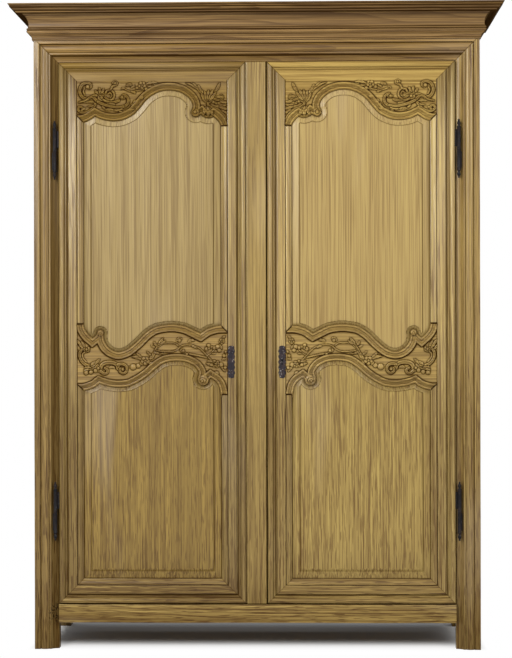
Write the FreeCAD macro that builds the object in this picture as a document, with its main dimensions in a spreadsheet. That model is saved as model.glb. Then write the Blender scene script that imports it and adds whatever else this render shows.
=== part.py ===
"""Two-door oak armoire with carved, serpentine door rails, as separate joined pieces.

Millimetres. +Z is up and the doors face -Y. The origin is on the floor, at the middle of the cabinet's box.
"""
import FreeCAD
import Part

import operator
import os
from types import SimpleNamespace

SIZES = {
    # Overall
    "body_width": 1524,
    "body_depth": 582,
    "cabinet_height": 2200,
    "foot_height": 90,
    "apron_height": 63,
    "frieze_height": 73,
    "cornice_height": 117,
    "cornice_projection": 78,
    "cornice_lap": 27,
    "cornice_seat": 22,
    # Posts and carcass rails
    "post_width": 82,
    "post_depth": 60,
    "rear_post_width": 60,
    "top_rail_depth": 55,
    "apron_depth": 40,
    "apron_setback": 3,
    "rear_rail_depth": 40,
    "rear_rail_setback": 6,
    "side_rail_depth": 30,
    "side_setback": 3,
    "side_mid_height": 110,
    "side_mid_level": 1000,
    "carcass_tenon_length": 45,
    "rear_tenon_length": 34,
    "side_tenon_length": 38,
    "carcass_tenon_thickness": 12,
    "carcass_tenon_shoulder": 10,
    "carcass_peg_radius": 5,
    "carcass_peg_length": 44,
    "side_peg_length": 30,
    # Moulding round the door opening
    "frame_face_depth": 17,
    "cove_width": 26,
    "cove_depth": 16,
    "frame_fillet_width": 5,
    "frame_fillet_drop": 3,
    "frame_round_width": 29,
    "frame_quirk_width": 2,
    "frame_quirk_drop": 6,
    # Panels of the carcass
    "panel_groove_depth": 10,
    "panel_groove_width": 9,
    "side_groove_setback": 10,
    "side_field_rise": 6,
    "side_field_margin": 40,
    "back_board_thickness": 14,
    "back_groove_setback": 14,
    "floor_thickness": 18,
    "top_board_thickness": 18,
    "shelf_thickness": 20,
    "shelf_lower_level": 610,
    "shelf_middle_level": 1080,
    "shelf_upper_drop": 460,
    "cleat_height": 34,
    "cleat_width": 24,
    # Doors
    "door_thickness": 32,
    "door_face_depth": 14,
    "door_side_gap": 2,
    "door_foot_gap": 3,
    "door_head_gap": 2,
    "door_stop_gap": 0.5,
    "door_stop_height": 12,
    "stile_width": 84,
    "bottom_rail_height": 88,
    "crest_depth": 216,
    "mid_rail_height": 232,
    "mid_rail_level": 1000,
    "edge_round_width": 21,
    "edge_round_drop": 9,
    "edge_quirk_width": 4,
    "edge_bead_width": 6,
    "edge_bead_drop": 4.5,
    "bead_quirk_width": 3,
    "band_drop": 4,
    "sticking_width": 22,
    "sticking_quirk": 2,
    "door_groove_setback": 15,
    "field_drop": 8,
    "door_tenon_length": 58,
    "crest_tenon_height": 120,
    "crest_tenon_drop": 42,
    "mid_tenon_height": 150,
    "foot_tenon_height": 48,
    "foot_tenon_rise": 24,
    "door_peg_radius": 4,
    "door_peg_length": 19,
    "door_peg_spread": 76,
    # False post between the doors
    "false_post_width": 69,
    "false_post_drop": 2,
    "false_post_tongue": 8,
    "false_post_tongue_depth": 9,
    "false_post_tongue_setback": 15,
    "meeting_gap": 3,
    # Hinges
    "hinge_offset": 10.5,
    "hinge_low_level": 472,
    "hinge_high_drop": 300,
    "hinge_barrel_radius": 6.5,
    "hinge_half_length": 76,
    "hinge_finial_height": 25,
    "hinge_pin_radius": 3.5,
    "hinge_pin_length": 120,
    "hinge_leaf_width": 46,
    "hinge_leaf_height": 62,
    "hinge_leaf_thickness": 2.5,
    "hinge_leaf_offset": 4,
    "hinge_running_gap": 0.4,
    # Lock, escutcheons and bolts
    "lock_level": 982,
    "lock_inset": 51,
    "escutcheon_width": 24,
    "escutcheon_height": 110,
    "escutcheon_thickness": 2,
    "nail_radius": 1.2,
    "nail_head_radius": 2.4,
    "nail_head_thickness": 1,
    "nail_length": 12,
    "nail_spread": 84,
    "keyhole_radius": 3.2,
    "keyhole_slot_width": 3.4,
    "keyhole_slot_height": 11,
    "lock_case_width": 100,
    "lock_case_height": 76,
    "lock_case_depth": 22,
    "lock_case_inset": 4,
    "lock_wall": 2.5,
    "lock_bolt_length": 76,
    "lock_bolt_height": 16,
    "lock_bolt_depth": 9,
    "lock_bolt_standoff": 6,
    "lock_bolt_travel": 18,
    "lock_stud_radius": 3,
    "lock_spring_thickness": 0.8,
    "lock_spring_length": 56,
    "keeper_width": 18,
    "keeper_height": 36,
    "keeper_depth": 21,
    "keeper_inset": 3,
    "keeper_wall": 3,
    "bolt_width": 16,
    "bolt_depth": 8,
    "bolt_length": 296,
    "bolt_standoff": 3,
    "bolt_inset": 42,
    "bolt_rest_gap": 2,
    "bolt_travel": 20,
    "bolt_knob_radius": 5,
    "bolt_knob_length": 12,
    "guide_height": 30,
    "guide_wall": 4,
    "guide_end_margin": 34,
    # Clearances
    "joint_fit": 0.2,
    "tenon_end_gap": 1,
    "panel_side_gap": 0.3,
    "panel_edge_gap": 1.5,
    "peg_fit": 0.1,
    "pin_fit": 0.05,
    "slide_fit": 0.3,
    "board_gap": 0.4,
    "bolt_hole_fit": 1.5,
}

# Shares of the panel opening's width, from the hinge stile to the lock stile, and of the crest rail's depth,
# down from the door's head: the lower edge of the carved top rail.
CREST_EDGE_SHARES = [
    ("point", (0, 0.954)),
    ("point", (0.089, 0.837)),
    ("curve", [(0.167, 0.909), (0.232, 0.928), (0.298, 0.9), (0.363, 0.827), (0.412, 0.71), (0.46, 0.584),
               (0.518, 0.493), (0.575, 0.447), (0.641, 0.439), (0.706, 0.466), (0.747, 0.529),
               (0.779, 0.692)]),
    ("arc", [(0.77, 0.79), (0.798, 0.859)]),
    ("point", (0.886, 0.859)),
    ("curve", [(0.94, 0.945), (1, 0.985)]),
]
# The same shares for the edge of the upper panel's raised field under that rail.
CREST_FIELD_SHARES = [
    ("point", (0.055, 1.072)),
    ("point", (0.117, 1.009)),
    ("curve", [(0.183, 1.045), (0.248, 1.055), (0.314, 1.037), (0.379, 0.965), (0.429, 0.892), (0.477, 0.783),
               (0.535, 0.647), (0.592, 0.575), (0.641, 0.556), (0.69, 0.584), (0.715, 0.65), (0.722, 0.73)]),
    ("arc", [(0.716, 0.85), (0.755, 0.965)]),
    ("point", (0.87, 0.972)),
    ("curve", [(0.91, 1.02), (0.95, 1.06)]),
]
# Shares of the opening's width and of the mid rail's height, up from its middle: the rail's upper edge.
MID_HEAD_SHARES = [
    ("point", (0, 0.503)),
    ("curve", [(0.05, 0.46), (0.093, 0.408)]),
    ("arc", [(0.125, 0.459), (0.157, 0.378)]),
    ("curve", [(0.165, 0.25), (0.196, 0.142), (0.243, 0.081), (0.317, 0.115), (0.382, 0.217), (0.448, 0.35),
               (0.513, 0.436), (0.578, 0.469), (0.652, 0.478), (0.733, 0.452), (0.799, 0.393),
               (0.848, 0.343)]),
    ("curve", [(0.897, 0.411), (0.962, 0.452), (1, 0.459)]),
]
# The upper panel's field above that edge.
MID_HEAD_FIELD_SHARES = [
    ("point", (0.055, 0.6)),
    ("curve", [(0.07, 0.575), (0.085, 0.545)]),
    ("arc", [(0.14, 0.545), (0.19, 0.42)]),
    ("curve", [(0.198, 0.31), (0.22, 0.225), (0.253, 0.187), (0.317, 0.205), (0.372, 0.29), (0.428, 0.428),
               (0.495, 0.53), (0.568, 0.57), (0.652, 0.578), (0.735, 0.555), (0.8, 0.495), (0.846, 0.455)]),
    ("curve", [(0.888, 0.515), (0.92, 0.545), (0.95, 0.558)]),
]
# The mid rail's lower edge, and the lower panel's field under it.
MID_FOOT_SHARES = [
    ("point", (0, -0.475)),
    ("point", (0.12, -0.4)),
    ("curve", [(0.202, -0.434), (0.268, -0.442), (0.333, -0.425), (0.399, -0.367), (0.464, -0.281),
               (0.529, -0.164), (0.587, -0.088), (0.652, -0.063), (0.733, -0.072), (0.799, -0.13),
               (0.831, -0.214)]),
    ("arc", [(0.826, -0.342), (0.856, -0.408)]),
    ("point", (0.922, -0.408)),
    ("curve", [(0.96, -0.46), (1, -0.52)]),
]
MID_FOOT_FIELD_SHARES = [
    ("point", (0.055, -0.57)),
    ("point", (0.145, -0.484)),
    ("curve", [(0.205, -0.52), (0.268, -0.54), (0.345, -0.52), (0.42, -0.46), (0.484, -0.385),
               (0.545, -0.28), (0.6, -0.185), (0.66, -0.155), (0.72, -0.16), (0.757, -0.2),
               (0.775, -0.26)]),
    ("arc", [(0.775, -0.4), (0.82, -0.5)]),
    ("point", (0.9, -0.51)),
    ("curve", [(0.925, -0.55), (0.95, -0.6)]),
]
# Shares of the cornice's projection and height, up its face from the foot.
CORNICE_FACE_SHARES = [
    ("point", (0.06, 0)),
    ("point", (0.06, 0.045)),
    ("arc", [(0.12, 0.17), (0.27, 0.27)]),
    ("point", (0.3, 0.28)),
    ("arc", [(0.365, 0.325), (0.3, 0.375)]),
    ("arc", [(0.47, 0.54), (0.79, 0.68)]),
    ("point", (0.84, 0.69)),
    ("point", (0.84, 0.735)),
    ("arc", [(0.95, 0.78), (0.955, 0.86)]),
    ("point", (1, 0.87)),
    ("point", (1, 1)),
]
# Shares of the barrel's radius and of the finial's height, from the barrel's end to the tip.
FINIAL_SHARES = [
    ("point", (1.25, 0)),
    ("point", (1.25, 0.12)),
    ("point", (0.7, 0.2)),
    ("arc", [(1.02, 0.42), (0.62, 0.66)]),
    ("point", (0.4, 0.72)),
    ("arc", [(0.46, 0.85), (0.2, 0.97)]),
    ("point", (0, 1)),
]
# Shares of the escutcheon's half width and half height, from its waist up to its tip.
ESCUTCHEON_SHARES = [
    ("arc", [(0.93, 0.2), (0.55, 0.34)]),
    ("arc", [(0.85, 0.5), (0.6, 0.68)]),
    ("point", (0.34, 0.72)),
    ("arc", [(0.4, 0.88), (0, 1)]),
]
BACK_BOARD_COUNT = 8
FLOOR_BOARD_COUNT = 4
TOP_BOARD_COUNT = 4

# Shares of a moulding's own width and drop at the middle of its arc.
COVE_MIDDLE_SHARES = (0.45, 0.76)
STICKING_MIDDLE_SHARES = (0.62, 1.7)
# The lower panel's plain field margin, as a share of the opening's width.
FIELD_INSET_SHARE = 0.055
# Two ends nearer than this are one point.
SAME_POINT = 1e-6

SUMS = {"+": operator.add, "-": operator.sub, "*": operator.mul, "/": operator.truediv}


class Length:
    """A size that keeps its sheet expression beside its value, so that both follow the same sum."""

    def __init__(self, text, value):
        self.text = text
        self.value = value

    def __add__(self, other):
        return joined(self, "+", other)

    def __radd__(self, other):
        return joined(other, "+", self)

    def __sub__(self, other):
        return joined(self, "-", other)

    def __rsub__(self, other):
        return joined(other, "-", self)

    def __mul__(self, other):
        return joined(self, "*", other)

    def __rmul__(self, other):
        return joined(other, "*", self)

    def __truediv__(self, other):
        return joined(self, "/", other)

    def __neg__(self):
        return joined(0, "-", self)

    def __float__(self):
        return float(self.value)

    def __lt__(self, other):
        return float(self) < float(other)


def as_length(number):
    return number if isinstance(number, Length) else Length(repr(number), number)


def joined(left, sign, right):
    left = as_length(left)
    right = as_length(right)
    return Length(f"({left.text} {sign} {right.text})", SUMS[sign](left.value, right.value))


doc = FreeCAD.newDocument("armoire")
sheet = doc.addObject("Spreadsheet::Sheet", "Sizes")
for row, (size_name, size_value) in enumerate(SIZES.items(), 1):
    sheet.set(f"A{row}", size_name)
    sheet.set(f"B{row}", str(size_value))
    sheet.setAlias(f"B{row}", size_name)
doc.recompute()
s = SimpleNamespace(**{name: Length("Sizes." + name, float(sheet.get(name))) for name in SIZES})

nodes = []


def block(xs, ys, zs, grow=0):
    """A squared piece between two limits on each axis, grown all round by a clearance."""
    piece = doc.addObject("Part::Box", "block")
    for axis, side, limits in zip("xyz", ("Length", "Width", "Height"), (xs, ys, zs)):
        low, high = sorted(as_length(limit) for limit in limits)
        piece.setExpression(side, (high - low + 2 * grow).text)
        piece.setExpression("Placement.Base." + axis, (low - grow).text)
    return piece


def rod(axis, across, limits, radius):
    """A round rod along one axis between two limits; across is its place on the two other axes."""
    turns = {"x": ((0, 1, 0), 90), "y": ((1, 0, 0), -90), "z": ((0, 0, 1), 0)}
    low, high = sorted(as_length(limit) for limit in limits)
    piece = doc.addObject("Part::Cylinder", "rod")
    around, angle = turns[axis]
    piece.Placement = FreeCAD.Placement(FreeCAD.Vector(), FreeCAD.Rotation(FreeCAD.Vector(*around), angle))
    piece.setExpression("Radius", radius.text)
    piece.setExpression("Height", (high - low).text)
    places = dict(zip("xyz".replace(axis, ""), across))
    places[axis] = low
    for letter, place in places.items():
        piece.setExpression("Placement.Base." + letter, as_length(place).text)
    return piece


def edges_along(steps, place):
    """Edges through a list of steps: a straight to a point, an arc over a middle to an end, or a curve."""
    here = place(*steps[0][1])
    edges = []
    for kind, target in steps[1:]:
        targets = [place(*target)] if kind == "point" else [place(*pair) for pair in target]
        if kind == "point":
            edges.append(Part.makeLine(here, targets[-1]))
        elif kind == "arc":
            edges.append(Part.Arc(here, *targets).toShape())
        else:
            smooth = Part.BSplineCurve()
            smooth.interpolate([here] + targets)
            edges.append(smooth.toShape())
        here = targets[-1]
    return edges


def closed_wire(edge_lists):
    """One closed wire through lists of edges in order, with straights where one list ends off the next."""
    edges = []
    for edge_list in edge_lists:
        edges.extend(edge_list)
    chain = []
    for edge, following in zip(edges, edges[1:] + edges[:1]):
        chain.append(edge)
        end = edge.lastVertex(True).Point
        start = following.firstVertex(True).Point
        if not end.isEqual(start, SAME_POINT):
            chain.append(Part.makeLine(end, start))
    return Part.Wire(chain)


def face_of(edge_lists):
    flat = doc.addObject("Part::Feature", "outline")
    flat.Shape = Part.Face(closed_wire(edge_lists))
    return flat


def wire_of(edge_lists):
    line = doc.addObject("Part::Feature", "outline")
    line.Shape = closed_wire(edge_lists)
    return line


def bar(flat, direction, length):
    """A flat outline drawn out along one axis."""
    solid = doc.addObject("Part::Extrusion", "bar")
    solid.Base = flat
    solid.DirMode = "Custom"
    solid.Dir = FreeCAD.Vector(*direction)
    solid.Solid = True
    solid.setExpression("LengthFwd", length.text)
    return solid


def turned(steps, x, y):
    """A solid of revolution about the upright line at x, y, from steps of (radius, height)."""
    flat = face_of([edges_along(steps, lambda r, z: FreeCAD.Vector(float(x) + float(r), float(y), float(z)))])
    solid = doc.addObject("Part::Revolution", "turned")
    solid.Source = flat
    solid.Axis = FreeCAD.Vector(0, 0, 1)
    solid.Base = FreeCAD.Vector(float(x), float(y), 0)
    solid.Solid = True
    return solid


def fused(*pieces):
    if len(pieces) == 1:
        return pieces[0]
    whole = doc.addObject("Part::MultiFuse", "fused")
    whole.Shapes = list(pieces)
    return whole


def common(*pieces):
    shared = doc.addObject("Part::MultiCommon", "common")
    shared.Shapes = list(pieces)
    return shared


def cut(base, *tools):
    """The base with every tool taken away."""
    rest = doc.addObject("Part::Cut", "cut")
    rest.Base = base
    rest.Tool = fused(*tools)
    return rest


def node(label, *pieces):
    """One named piece of the cabinet, or one named group of like pieces."""
    whole = pieces[0]
    if len(pieces) > 1:
        whole = doc.addObject("Part::Compound", label)
        whole.Links = list(pieces)
    whole.Label = label
    nodes.append(whole)


def vector(x, y, z):
    return FreeCAD.Vector(float(x), float(y), float(z))


# Main planes
half_body = s.body_width / 2
front = (s.cornice_projection - s.body_depth) / 2
back = front + s.body_depth
cornice_foot = s.cabinet_height - s.cornice_height
carcass_top = cornice_foot + s.cornice_lap
opening_top = cornice_foot - s.frieze_height
opening_foot = s.foot_height + s.apron_height
opening_half = half_body - s.post_width
post_back = front + s.post_depth
rear_post_front = back - s.post_depth
rear_half = half_body - s.rear_post_width
side_face = half_body - s.side_setback
side_inner = side_face - s.side_rail_depth
hinge_edge = opening_half - s.door_side_gap
meeting_half = (s.false_post_width + s.meeting_gap) / 2
door_width = hinge_edge - meeting_half
door_foot = opening_foot + s.door_foot_gap
door_top = opening_top - s.door_head_gap
hinge_x = opening_half + s.hinge_offset
hinge_levels = (s.hinge_low_level, door_top - s.hinge_high_drop)
SIDES = {"left": -1, "right": 1}

# Tenons of the carcass, each a box that the rail carries and the post is cut for
top_tenon_ys = (front + s.frame_face_depth + s.carcass_tenon_shoulder,
                front + s.frame_face_depth + s.carcass_tenon_shoulder + s.carcass_tenon_thickness)
top_tenon_zs = (opening_top + s.carcass_tenon_shoulder, carcass_top - s.carcass_tenon_shoulder)
apron_tenon_ys = (front + s.apron_setback + s.carcass_tenon_shoulder,
                  front + s.apron_setback + s.carcass_tenon_shoulder + s.carcass_tenon_thickness)
apron_tenon_zs = (s.foot_height + s.carcass_tenon_shoulder, opening_foot - s.carcass_tenon_shoulder)
rear_rail_ys = (back - s.rear_rail_setback - s.rear_rail_depth, back - s.rear_rail_setback)
rear_tenon_ys = (rear_rail_ys[0] + s.carcass_tenon_shoulder,
                 rear_rail_ys[0] + s.carcass_tenon_shoulder + s.carcass_tenon_thickness)
side_groove_xs = (side_face - s.side_groove_setback - s.panel_groove_width, side_face - s.side_groove_setback)
side_rail_zs = {
    "top": (opening_top, carcass_top),
    "mid": (s.side_mid_level - s.side_mid_height / 2, s.side_mid_level + s.side_mid_height / 2),
    "bottom": (s.foot_height, opening_foot),
}


def middle(limits):
    return (limits[0] + limits[1]) / 2


def front_tenon(side, ys, zs):
    """The box of a front rail's tenon at one end, from its shoulder into a post."""
    return (side * opening_half, side * (opening_half + s.carcass_tenon_length)), ys, zs


def rear_tenon(side, zs):
    """The box of a rear rail's tenon at one end."""
    return (side * rear_half, side * (rear_half + s.rear_tenon_length)), rear_tenon_ys, zs


def side_tenon(side, shoulder, inward, zs):
    """The box of a side rail's tenon, from its shoulder into a post."""
    xs = tuple(side * x for x in side_groove_xs)
    inner_zs = (zs[0] + s.carcass_tenon_shoulder, zs[1] - s.carcass_tenon_shoulder)
    return xs, (shoulder, shoulder + inward * s.side_tenon_length), inner_zs


def mortise(box, axis):
    """The hole for a tenon: its box with the fit all round and room at the tenon's end."""
    xs, ys, zs = box
    limits = {"x": xs, "y": ys, "z": zs}
    first, last = limits[axis]
    reach = s.tenon_end_gap if first < last else -s.tenon_end_gap
    limits[axis] = (first, last + reach)
    return block(limits["x"], limits["y"], limits["z"], grow=s.joint_fit)


# Pegs of the carcass: those of the front and rear rails run along Y, those of the side rails along X
def carcass_peg(side, kind, radius):
    """One peg, or with a larger radius its hole, at the tenon that kind names on one side."""
    end, level = kind.split("_")
    if end in ("front", "rear"):
        zs = top_tenon_zs if level == "top" else apron_tenon_zs
        if end == "front":
            x = opening_half + s.carcass_tenon_length / 2
            ys = (post_back, post_back - s.carcass_peg_length)
        else:
            x = rear_half + s.rear_tenon_length / 2
            ys = (rear_post_front, rear_post_front + s.carcass_peg_length)
        return rod("y", (side * x, middle(zs)), ys, radius)
    inset = s.side_tenon_length / 2
    y = post_back - inset if end == "fore" else rear_post_front + inset
    xs = (side * half_body, side * (half_body - s.side_peg_length))
    return rod("x", (y, middle(side_rail_zs[level])), xs, radius)


FRONT_PEGS = ["front_top", "front_bottom", "fore_top", "fore_mid", "fore_bottom"]
REAR_PEGS = ["rear_top", "rear_bottom", "aft_top", "aft_mid", "aft_bottom"]
peg_hole_radius = s.carcass_peg_radius + s.peg_fit

# Moulding round the door opening, from the opening's edge outwards and back from the front plane
frame_round_start = s.cove_width + s.frame_fillet_width
frame_round_end = frame_round_start + s.frame_round_width
FRAME_FACE = [
    ("point", (0, s.cove_depth)),
    ("arc", [(s.cove_width * COVE_MIDDLE_SHARES[0], s.cove_depth * COVE_MIDDLE_SHARES[1]),
             (s.cove_width, s.frame_fillet_drop)]),
    ("point", (frame_round_start, s.frame_fillet_drop)),
    ("point", (frame_round_start, s.frame_quirk_drop)),
    ("arc", [((frame_round_start + frame_round_end) / 2, 0), (frame_round_end, s.frame_quirk_drop)]),
    ("point", (frame_round_end + s.frame_quirk_width, s.frame_quirk_drop)),
    ("point", (frame_round_end + s.frame_quirk_width, 0)),
    ("point", (s.post_width, 0)),
]


def mitre_board():
    """The front of the top rail, whose ends are mitred to the posts at 45 degrees."""
    rise = carcass_top - opening_top
    corners = [(-opening_half, opening_top), (opening_half, opening_top),
               (opening_half + rise, carcass_top), (-(opening_half + rise), carcass_top)]
    steps = [("point", corner) for corner in corners]
    flat = face_of([edges_along(steps, lambda x, z: vector(x, front, z))])
    return bar(flat, (0, 1, 0), s.frame_face_depth)


def hinge_slots(side):
    """Slots for the frame leaves of one side's hinges."""
    slots = []
    for level in hinge_levels:
        xs, ys, zs = hinge_leaf(side, level, -1)
        slots.append(block(xs, ys, zs, grow=s.joint_fit))
    return slots


def hinge_leaf(side, level, way):
    """The box of a hinge leaf: way -1 is the frame's leaf under the joint, 1 is the door's above it."""
    ys = (front + s.hinge_leaf_offset, front + s.hinge_leaf_offset + s.hinge_leaf_thickness)
    xs = (side * hinge_x, side * (hinge_x - way * s.hinge_leaf_width))
    margin = (s.hinge_half_length - s.hinge_leaf_height) / 2
    return xs, ys, (level + way * margin, level + way * (margin + s.hinge_leaf_height))


# Corner posts
for hand, side in SIDES.items():
    face_edges = edges_along(FRAME_FACE, lambda u, d: vector(side * (opening_half + u), front + d, 0))
    back_edges = edges_along(
        [("point", (half_body, post_back)), ("point", (opening_half, post_back))],
        lambda x, y: vector(side * x, y, 0))
    shaft = bar(face_of([face_edges, back_edges]), (0, 0, 1), carcass_top)
    side_grooves = block(
        [side * x for x in side_groove_xs],
        (post_back - s.panel_groove_depth, post_back),
        (opening_foot - s.panel_groove_depth, opening_top + s.panel_groove_depth))
    fore_mortises = [mortise(side_tenon(side, post_back, -1, zs), "y") for zs in side_rail_zs.values()]
    holes = [carcass_peg(side, kind, peg_hole_radius) for kind in FRONT_PEGS]
    top_mortise = mortise(front_tenon(side, top_tenon_ys, top_tenon_zs), "x")
    apron_mortise = mortise(front_tenon(side, apron_tenon_ys, apron_tenon_zs), "x")
    post = cut(shaft, mitre_board(), side_grooves, top_mortise, apron_mortise, *fore_mortises, *holes,
               *hinge_slots(side))
    node(f"front_post_{hand}", post)

    shaft = block((side * rear_half, side * half_body), (rear_post_front, back), (0, carcass_top))
    side_grooves = block(
        [side * x for x in side_groove_xs],
        (rear_post_front, rear_post_front + s.panel_groove_depth),
        (opening_foot - s.panel_groove_depth, opening_top + s.panel_groove_depth))
    back_groove = block(
        (side * rear_half, side * (rear_half + s.panel_groove_depth)),
        (rear_rail_ys[0] + s.back_groove_setback,
         rear_rail_ys[0] + s.back_groove_setback + s.back_board_thickness + 2 * s.panel_side_gap),
        (opening_foot - s.panel_groove_depth, opening_top + s.panel_groove_depth))
    aft_mortises = [mortise(side_tenon(side, rear_post_front, 1, zs), "y") for zs in side_rail_zs.values()]
    rear_mortises = [mortise(rear_tenon(side, zs), "x")
                     for zs in (top_tenon_zs, apron_tenon_zs)]
    holes = [carcass_peg(side, kind, peg_hole_radius) for kind in REAR_PEGS]
    node(f"rear_post_{hand}", cut(shaft, side_grooves, back_groove, *aft_mortises, *rear_mortises, *holes))

# Front top rail: a moulded, mitred face on a tenoned rail with a stop for the doors and a bolt hole
bolt_x = -(meeting_half + s.bolt_inset)
bolt_ys = (front + s.door_thickness + s.bolt_standoff,
           front + s.door_thickness + s.bolt_standoff + s.bolt_depth)
bolt_xs = (bolt_x - s.bolt_width / 2, bolt_x + s.bolt_width / 2)
rail_face_edges = edges_along(
    FRAME_FACE, lambda u, d: vector(-(opening_half + s.post_width), front + d, opening_top + u))
rail_head = carcass_top - opening_top
rail_back_edges = edges_along(
    [("point", (0, rail_head)), ("point", (s.frame_face_depth, rail_head)),
     ("point", (s.frame_face_depth, 0))],
    lambda d, u: vector(-(opening_half + s.post_width), front + d, opening_top + u))
moulded = bar(face_of([rail_face_edges, rail_back_edges]), (1, 0, 0), s.body_width)
top_face = common(moulded, mitre_board())
top_core = block(
    (-opening_half, opening_half),
    (front + s.frame_face_depth, front + s.top_rail_depth),
    (opening_top, carcass_top))
door_stop = block(
    (-hinge_edge, hinge_edge),
    (front + s.door_thickness + s.door_stop_gap, front + s.top_rail_depth),
    (opening_top - s.door_stop_height, opening_top))
top_tenons = [block(*front_tenon(side, top_tenon_ys, top_tenon_zs)) for side in SIDES.values()]
bolt_hole = block(
    bolt_xs, bolt_ys,
    (opening_top - s.door_stop_height - s.bolt_hole_fit, opening_top + s.bolt_travel),
    grow=s.bolt_hole_fit)
holes = [carcass_peg(side, "front_top", peg_hole_radius) for side in SIDES.values()]
node("front_top_rail", cut(fused(top_core, top_face, door_stop, *top_tenons), bolt_hole, *holes))

# Front bottom rail, the plain apron under the doors
apron_ys = (front + s.apron_setback, front + s.apron_setback + s.apron_depth)
apron = block((-opening_half, opening_half), apron_ys, (s.foot_height, opening_foot))
apron_tenons = [block(*front_tenon(side, apron_tenon_ys, apron_tenon_zs))
                for side in SIDES.values()]
holes = [carcass_peg(side, "front_bottom", peg_hole_radius) for side in SIDES.values()]
node("front_bottom_rail", cut(fused(apron, *apron_tenons), *holes))

# Rear rails, grooved for the back boards
board_ys = (rear_rail_ys[0] + s.back_groove_setback + s.panel_side_gap,
            rear_rail_ys[0] + s.back_groove_setback + s.panel_side_gap + s.back_board_thickness)
for level, zs, tenon_zs in (("top", (opening_top, carcass_top), top_tenon_zs),
                            ("bottom", (s.foot_height, opening_foot), apron_tenon_zs)):
    rail = block((-rear_half, rear_half), rear_rail_ys, zs)
    tenons = [block(*rear_tenon(side, tenon_zs)) for side in SIDES.values()]
    if level == "top":
        groove_zs = (opening_top, opening_top + s.panel_groove_depth)
    else:
        groove_zs = (opening_foot - s.panel_groove_depth, opening_foot)
    groove = block(
        (-rear_half, rear_half),
        (board_ys[0] - s.panel_side_gap, board_ys[1] + s.panel_side_gap),
        groove_zs)
    holes = [carcass_peg(side, f"rear_{level}", peg_hole_radius) for side in SIDES.values()]
    node(f"rear_{level}_rail", cut(fused(rail, *tenons), groove, *holes))

# Side rails and their raised panels
panel_inset = s.panel_groove_depth - s.panel_edge_gap
for hand, side in SIDES.items():
    rail_xs = (side * side_inner, side * side_face)
    groove_xs = [side * x for x in side_groove_xs]
    for level, zs in side_rail_zs.items():
        rail = block(rail_xs, (post_back, rear_post_front), zs)
        tenons = [block(*side_tenon(side, post_back, -1, zs)),
                  block(*side_tenon(side, rear_post_front, 1, zs))]
        rail_ys = (post_back, rear_post_front)
        grooves = []
        if level != "top":
            grooves.append(block(groove_xs, rail_ys, (zs[1] - s.panel_groove_depth, zs[1])))
        if level != "bottom":
            grooves.append(block(groove_xs, rail_ys, (zs[0], zs[0] + s.panel_groove_depth)))
        holes = [carcass_peg(side, f"{end}_{level}", peg_hole_radius) for end in ("fore", "aft")]
        node(f"side_{level}_rail_{hand}", cut(fused(rail, *tenons), *grooves, *holes))
    panel_zs = {
        "lower": (side_rail_zs["bottom"][1], side_rail_zs["mid"][0]),
        "upper": (side_rail_zs["mid"][1], side_rail_zs["top"][0]),
    }
    tongue_xs = (side * (side_groove_xs[0] + s.panel_side_gap), side * (side_groove_xs[1] - s.panel_side_gap))
    for level, zs in panel_zs.items():
        tongue = block(
            tongue_xs,
            (post_back - panel_inset, rear_post_front + panel_inset),
            (zs[0] - panel_inset, zs[1] + panel_inset))
        field = block(
            (tongue_xs[1], tongue_xs[1] + side * s.side_field_rise),
            (post_back + s.side_field_margin, rear_post_front - s.side_field_margin),
            (zs[0] + s.side_field_margin, zs[1] - s.side_field_margin))
        node(f"side_panel_{level}_{hand}", fused(tongue, field))


def boards(label, plank, count, axis, limits):
    """A wide plank sawn across one axis into a number of equal boards."""
    step = (limits[1] - limits[0]) / count
    every_x = (-half_body, half_body)
    every_y = (front, back)
    every_z = (0, s.cabinet_height)
    pieces = []
    for index in range(count):
        strip = (limits[0] + index * step + s.board_gap / 2, limits[0] + (index + 1) * step - s.board_gap / 2)
        spans = {"x": every_x, "y": every_y, "z": every_z, axis: strip}
        pieces.append(common(plank(), block(spans["x"], spans["y"], spans["z"])))
    node(label, *pieces)


# Back boards in the grooves of the rear posts and rails
back_half = rear_half + panel_inset
boards(
    "back_boards",
    lambda: block((-back_half, back_half), board_ys, (opening_foot - panel_inset, opening_top + panel_inset)),
    BACK_BOARD_COUNT, "x", (-back_half, back_half))

# Floor boards on the bottom rails, notched round the posts; their front edge stops the doors
floor_top = opening_foot + s.floor_thickness
floor_front = front + s.door_thickness + s.door_stop_gap
bottom_bolt_hole = (bolt_xs, bolt_ys, (opening_foot, floor_top))


def floor_plank():
    middle_part = block(
        (-(side_inner - s.joint_fit), side_inner - s.joint_fit),
        (post_back + s.joint_fit, rear_post_front - s.joint_fit),
        (opening_foot, floor_top))
    long_part = block(
        (-(rear_half - s.joint_fit), rear_half - s.joint_fit),
        (post_back + s.joint_fit, board_ys[0] - s.joint_fit),
        (opening_foot, floor_top))
    front_part = block(
        (-(opening_half - s.joint_fit), opening_half - s.joint_fit),
        (floor_front, rear_post_front - s.joint_fit),
        (opening_foot, floor_top))
    return cut(fused(middle_part, long_part, front_part), block(*bottom_bolt_hole, grow=s.bolt_hole_fit))


boards("floor_boards", floor_plank, FLOOR_BOARD_COUNT, "y", (floor_front, board_ys[0] - s.joint_fit))

# Top boards on the carcass, inside the cornice
top_half = half_body - s.cornice_seat - s.joint_fit
top_ys = (front + s.cornice_seat + s.joint_fit, back)
boards(
    "top_boards",
    lambda: block((-top_half, top_half), top_ys, (carcass_top, carcass_top + s.top_board_thickness)),
    TOP_BOARD_COUNT, "y", top_ys)

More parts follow.
